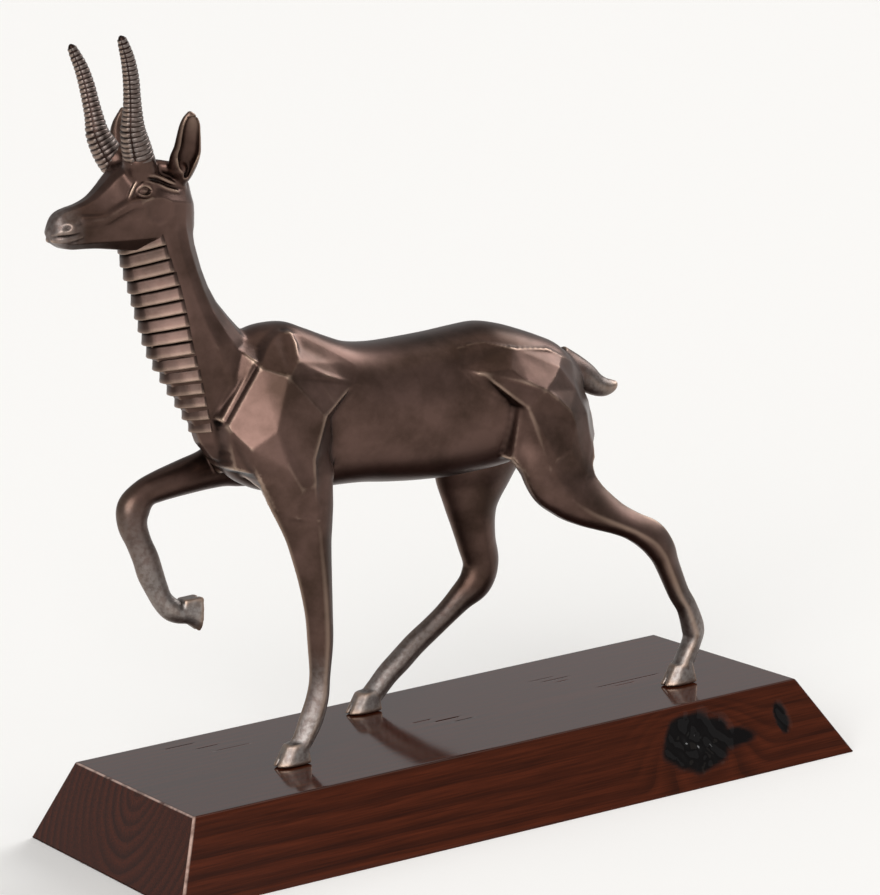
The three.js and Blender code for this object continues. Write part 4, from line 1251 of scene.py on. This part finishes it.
# plinth: a plank with its four sides sawn at a slant
plinth = {
    "length": 420.0, "width": 192.0, "height": 43.0, "endLean": 22.0, "sideLean": 21.0,
    # worn edges, and how finely the faces are divided
    "bevel": 0.9, "bevelTurns": (0, 30, 60, 90), "stations": 250, "sideParts": 28, "topParts": 90,
    # resin knot and bark pocket on the left side: x, height, half length, half height, depth
    "knot": (115.0, 23.0, 22.0, 15.5, 2.4), "pocket": (171.5, 25.0, 4.2, 8.5, 1.8),
    # the knot's pointed tail: x, height, half length, half height
    "knotTail": (137.0, 21.0, 15.0, 5.5),
    # splits along the grain of the top: from x, to x, y
    "splits": [(79, 95, 35), (84, 101, 28.5), (90, 96, 22), (100, 140, -6), (108, 121, -11), (-14, -2, 5),
               (-4, 12, -2.5), (4, 17, -10), (-140, -122, 61), (-127, -113, 48), (-121, -100, 36)],
    "splitWidth": 0.75, "splitDepth": 0.9,
}

# stained pine: the rings run round a pith just above the middle of the top
woodLook = {
    "early": "#381609", "late": "#200c06", "red": "#4c2010",
    "pale": "#b09488", "resin": "#060404", "split": "#120807",
    # millimetres
    "ringSpacing": 7.2, "pith": (-4.0, 57.0), "sway": 7.0, "swayLength": 80.0,
    "fibre": 0.9, "fibreLength": 30.0, "fibreDepth": 0.4, "blotch": 60.0, "wearPatch": 8.3333,
    "gloss": 0.09, "resinGloss": 0.05, "topShine": 0.36, "sideShine": 0.12, "resinShine": 0.4,
    # how the rings bend round the knot: its middle across the plank, how far along each axis, how much
    "knotSide": -84.0, "bendReach": (52.0, 60.0, 34.0), "bend": 20.0,
}


def plankOutline():
    # a cut across the plank from the left foot round by the top: y, height, and the outward direction
    side, lean, high = plinth["width"] / 2, plinth["sideLean"], plinth["height"]
    corners = np.array([(-side, 0), (lean - side, high), (side - lean, high), (side, 0)])
    tops = set(np.linspace(lean - side + 2, side - lean - 2, plinth["topParts"]).round(3))
    for _, _, y in plinth["splits"]:
        tops |= {y - plinth["splitWidth"], y, y + plinth["splitWidth"]}
    tops = (np.array(sorted(tops)) - (lean - side)) / (2 * (side - lean))
    flanks = np.linspace(0.05, 0.95, plinth["sideParts"])
    parts = [flanks, tops, flanks, [0.5]]
    line = []
    for i, shares in enumerate(parts):
        before, here, after = corners[i - 1], corners[i], corners[(i + 1) % 4]
        reach = plinth["bevel"]
        start, end = here + unit(np.array([before - here, after - here])) * reach
        for t in np.linspace(0, 1, 5):
            line.append((1 - t) ** 2 * start + 2 * t * (1 - t) * here + t * t * end)
        line += [here + (after - here) * share for share in shares]
    line = np.array(line)
    along = np.roll(line, -1, 0) - np.roll(line, 1, 0)
    return line, unit(np.stack([-along[:, 1], along[:, 0]], 1))


def lumps(x, z):
    # the resin's runs and drops, between -1 and 1
    runs = np.sin(0.46 * x + 0.6 * np.sin(0.3 * z)) * np.sin(0.42 * z + 0.8 * np.sin(0.25 * x))
    drops = np.sin(0.85 * x - 0.5 * z) * np.sin(0.75 * z + 0.3 * x)
    return 0.75 * runs + 0.25 * drops


def plinthRelief(x, y, z):
    # how far the skin lies in or out, and where resin and splits show
    onSide = y < -(plinth["width"] / 2 - plinth["sideLean"]) - 0.4
    wobble = 0.1 * np.sin(0.21 * x + 1.0) * np.sin(0.24 * z + 0.6) + 0.03 * np.sin(0.4 * x - 0.35 * z)
    move, resin = np.zeros_like(x), np.zeros_like(x)
    for middle, height, long, high, deep in (plinth["knot"], plinth["pocket"]):
        far = np.hypot((x - middle) / long, (z - height) / high) + wobble
        dish = np.clip(1.08 - far, 0, 1) ** 0.6
        move += onSide * dish * deep * (0.6 * lumps(x, z) - 0.6)
        resin = np.maximum(resin, onSide * ramped(far, 1.04, 0.9))
    middle, height, long, high = plinth["knotTail"]
    far = np.hypot((x - middle) / long, (z - height) / high) + wobble
    resin = np.maximum(resin, onSide * ramped(far, 1.05, 0.8))
    onTop = z > plinth["height"] - 0.01
    split = np.zeros_like(x)
    for start, end, row in plinth["splits"]:
        inside = ramped(x, start, start + 3) * ramped(x, end, end - 3)
        split = np.maximum(split, onTop * inside * (np.abs(y - row) < 0.1))
    return move - split * plinth["splitDepth"], resin, split


def plinthPiece():
    half, lean, high = plinth["length"] / 2, plinth["endLean"], plinth["height"]
    line, out = plankOutline()
    rows = []
    for turn in reversed(plinth["bevelTurns"]):
        rows.append((-1, math.radians(turn)))
    rows += [(t, 0.0) for t in np.linspace(-0.995, 0.995, plinth["stations"])]
    for turn in plinth["bevelTurns"]:
        rows.append((1, math.radians(turn)))
    points = []
    for share, turn in rows:
        flat = line - out * plinth["bevel"] * (1 - math.cos(turn))
        pull = plinth["bevel"] * (1 - math.sin(turn)) if abs(share) == 1 else plinth["bevel"]
        points.append(np.column_stack([share * (half - lean * flat[:, 1] / high - pull), flat]))
    points = np.array(points)
    x, y, z = np.moveaxis(points, 2, 0)
    move, resin, split = plinthRelief(x, y, z)
    points[:, :, 1:] += out[None] * move[:, :, None]
    count, around = len(rows), len(line)
    faces = []
    for i in range(count - 1):
        here, ahead = i * around, (i + 1) * around
        for j in range(around):
            k = (j + 1) % around
            faces.append((here + j, ahead + j, ahead + k, here + k))
    faces += [tuple(range(around)), tuple((count - 1) * around + j for j in reversed(range(around)))]
    piece = meshObject("plankPlinth", points.reshape(-1, 3) * mm, faces)
    mesh = piece.data
    orient(mesh)
    # lacquer is worn through on the left end's upper edge and on the corner next to it
    quarter = math.radians(89)
    end = np.array([share == -1 and 0 < turn < quarter for share, turn in rows])[:, None]
    face = np.array([share == -1 and turn > quarter for share, turn in rows])[:, None]
    fromEnd = x + half - lean * z / high
    fromSide = y + plinth["width"] / 2 - plinth["sideLean"] * z / high
    corner = np.hypot(fromEnd, fromSide) < 1.1
    worn = ((end & (z > high - 1.5) & (y < 74)) | (corner & (z > 3))) & ~face
    flank = z <= high - 0.5
    for name, value in (("worn", worn), ("resin", resin), ("split", split), ("flank", flank)):
        mark(mesh, name, value.ravel())
    mesh.polygons.foreach_set("use_smooth", [len(p.vertices) == 4 for p in mesh.polygons])
    mesh.update()
    print("plankPlinth", len(mesh.polygons), "faces")
    return piece


def woodMaterial():
    # pine plank, stained red-brown and lacquered: grain under a clear gloss, black resin in the knot
    made, tree, shader, where, tone, (worn, resin, split, flank) = newMaterial(
        "lacqueredPine", woodLook, ("early", "late", "red", "pale", "resin", "split"),
        ("worn", "resin", "split", "flank"))
    # nearness to the knot: 1 at its middle
    middle = (plinth["knot"][0] * mm, woodLook["knotSide"] * mm, plinth["knot"][1] * mm)
    away = vectors(tree, "SUBTRACT", where, middle)
    scaled = vectors(tree, "MULTIPLY", away, tuple(1000 / v for v in woodLook["bendReach"]))
    far = addNode(tree, "ShaderNodeVectorMath", {"operation": "LENGTH"}, {0: scaled})
    near = addNode(tree, "ShaderNodeMapRange", {"interpolation_type": "SMOOTHSTEP"}, {
        "Value": far.outputs["Value"], "From Min": 0.25, "From Max": 1.0, "To Min": 1.0, "To Max": 0.0})
    bent = vectors(tree, "SCALE", (0.0, -woodLook["bend"] * mm, 0.0), near.outputs["Result"])
    # the grain sways a little along the plank
    drawn = addNode(tree, "ShaderNodeMapping", None, {"Vector": where, "Scale": (0.25, 1, 1)})
    stretch = drawn.outputs["Vector"]
    sway = addNode(tree, "ShaderNodeTexNoise", None, {
        "Vector": stretch, "Scale": 1000 / woodLook["swayLength"], "Detail": 3.0})
    shift = vectors(tree, "SCALE", sway.outputs["Color"], 2 * woodLook["sway"] * mm)
    pith = addNode(tree, "ShaderNodeMapping", None, {
        "Vector": where, "Location": (0, -woodLook["pith"][0] * mm, -woodLook["pith"][1] * mm),
        "Rotation": (0, math.radians(1.2), math.radians(0.8))})
    place = vectors(tree, "ADD", vectors(tree, "ADD", pith.outputs["Vector"], shift), bent)
    # a wave texture repeats every pi / 10 at a scale of 1
    rings = addNode(tree, "ShaderNodeTexWave",
                    {"wave_type": "RINGS", "rings_direction": "X", "wave_profile": "SAW"},
                    {"Vector": place, "Scale": math.pi / 10 / (woodLook["ringSpacing"] * mm),
                     "Distortion": 0.6, "Detail": 2.0, "Detail Scale": 0.4})
    ringTone = addNode(tree, "ShaderNodeValToRGB", None, {"Fac": rings.outputs["Fac"]})
    ramp = ringTone.color_ramp
    ramp.elements[0].color = tone["early"]
    ramp.elements[1].color = tone["late"]
    for at, name in ((0.25, "red"), (0.6, "early"), (0.85, "late")):
        ramp.elements.new(at).color = tone[name]
    # stain soaked in unevenly
    soaked = remap(tree, noise(tree, stretch, woodLook["blotch"], 4.0), (0.35, 0.65), (0.45, 0.9))
    colour = blend(tree, soaked, ringTone.outputs["Color"], tone["early"])
    # fine fibres drawn out along the plank
    fibre = addNode(tree, "ShaderNodeMapping", None, {
        "Vector": where, "Scale": (woodLook["fibre"] / woodLook["fibreLength"], 1, 1)})
    streak = noise(tree, fibre.outputs["Vector"], woodLook["fibre"], 4.0)
    grain = addNode(tree, "ShaderNodeMix", {"data_type": "RGBA", "blend_type": "MULTIPLY"}, {"Factor": 0.8})
    tree.links.new(colour, grain.inputs[6])
    tree.links.new(remap(tree, streak, (0.3, 0.7), (0.55, 1.3)), grain.inputs[7])
    # bare wood on the worn edges, near black in the splits, resin in the knot
    patchy = remap(tree, noise(tree, where, woodLook["wearPatch"], 4.0), (0.3, 0.55), (0, 1))
    colour = blend(tree, product(tree, worn, patchy), grain.outputs[2], tone["pale"])
    colour = blend(tree, split, colour, tone["split"])
    colour = blend(tree, resin, colour, tone["resin"])
    tree.links.new(colour, shader["Base Color"])
    gloss = remap(tree, resin, (0, 1), (woodLook["gloss"], woodLook["resinGloss"]))
    tree.links.new(gloss, shader["Roughness"])
    # the sawn sides took less lacquer than the top; resin has its own shine wherever it lies
    dull = addNode(tree, "ShaderNodeMath", {"operation": "SUBTRACT", "use_clamp": True},
                   {0: flank, 1: resin})
    shine = remap(tree, dull.outputs["Value"], (0, 1), (woodLook["topShine"], woodLook["sideShine"]))
    wet = remap(tree, resin, (0, 1), (1, woodLook["resinShine"]))
    tree.links.new(product(tree, shine, wet), shader["Specular IOR Level"])
    shader["IOR"].default_value = 1.52
    bump = addNode(tree, "ShaderNodeBump", None, {
        "Height": streak, "Strength": 0.03, "Distance": woodLook["fibreDepth"] * mm})
    tree.links.new(bump.outputs["Normal"], shader["Normal"])
    return made


wood = woodMaterial()
plank = plinthPiece()
plank.data.materials.append(wood)
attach(plank, "root")
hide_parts("wooden_plinth")
print("plinth made")

# the photograph's camera: degrees, metres, millimetres of lens
cameraView = {"azimuth": -28.125, "elevation": 11.0, "roll": -4.983, "distance": 2.345794,
              "across": -0.002898, "up": 0.193345, "lens": 169.25, "sensor": 36.0}


def setCamera():
    a, e, r = [math.radians(cameraView[k]) for k in ("azimuth", "elevation", "roll")]
    back = Vector((math.sin(a) * math.cos(e), -math.cos(a) * math.cos(e), math.sin(e)))
    level = Vector((math.cos(a), math.sin(a), 0))
    rise = back.cross(level)
    right = math.cos(r) * level + math.sin(r) * rise
    up = -math.sin(r) * level + math.cos(r) * rise
    place = back * cameraView["distance"] + right * cameraView["across"] + up * cameraView["up"]
    lens = bpy.data.cameras.new("camera")
    lens.lens = cameraView["lens"]
    lens.sensor_width = cameraView["sensor"]
    lens.clip_start = 0.1
    lens.clip_end = 100
    made = bpy.data.objects.new("camera", lens)
    made.matrix_world = Matrix((right, up, back)).transposed().to_4x4()
    made.location = place
    bpy.context.collection.objects.link(made)
    bpy.context.scene.camera = made


def softbox(name, direction, strength, spread, tint=(1, 1, 1)):
    # a broad, even studio light from far off; spread is how wide it looks, in degrees
    lamp = bpy.data.lights.new(name, "SUN")
    lamp.energy = strength
    lamp.angle = math.radians(spread)
    lamp.color = tint
    made = bpy.data.objects.new(name, lamp)
    toLamp = Vector(direction).normalized()
    made.location = toLamp * 2
    made.rotation_mode = "QUATERNION"
    made.rotation_quaternion = toLamp.to_track_quat("Z", "Y")
    bpy.context.collection.objects.link(made)


setCamera()
wide = 30
floor = meshObject("floor", [(-wide, -wide, 0), (wide, -wide, 0), (wide, wide, 0), (-wide, wide, 0)],
                   [(0, 1, 2, 3)])
pale = bpy.data.materials.new("paleFloor")
pale.use_nodes = True
matt = pale.node_tree.nodes["Principled BSDF"].inputs
matt["Base Color"].default_value = linear("#f4f3f1")
matt["Roughness"].default_value = 0.9
floor.data.materials.append(pale)

world = bpy.data.worlds.new("studio")
bpy.context.scene.world = world
world.use_nodes = True
sky = world.node_tree.nodes["Background"].inputs
sky["Color"].default_value = (1, 1, 1, 1)
sky["Strength"].default_value = 0.42
print("camera and lights set")
softbox("keyLight", (-0.60, -0.72, 0.42), 2.2, 42)
softbox("sideLight", (0.83, 0.07, 0.55), 1.6, 32)
softbox("frontFill", (0.10, -0.95, 0.28), 0.25, 50)
softbox("warmTop", (0.27, -0.31, 0.91), 0.2, 40, (1.0, 0.88, 0.74))
bpy.context.scene.view_settings.view_transform = "Standard"
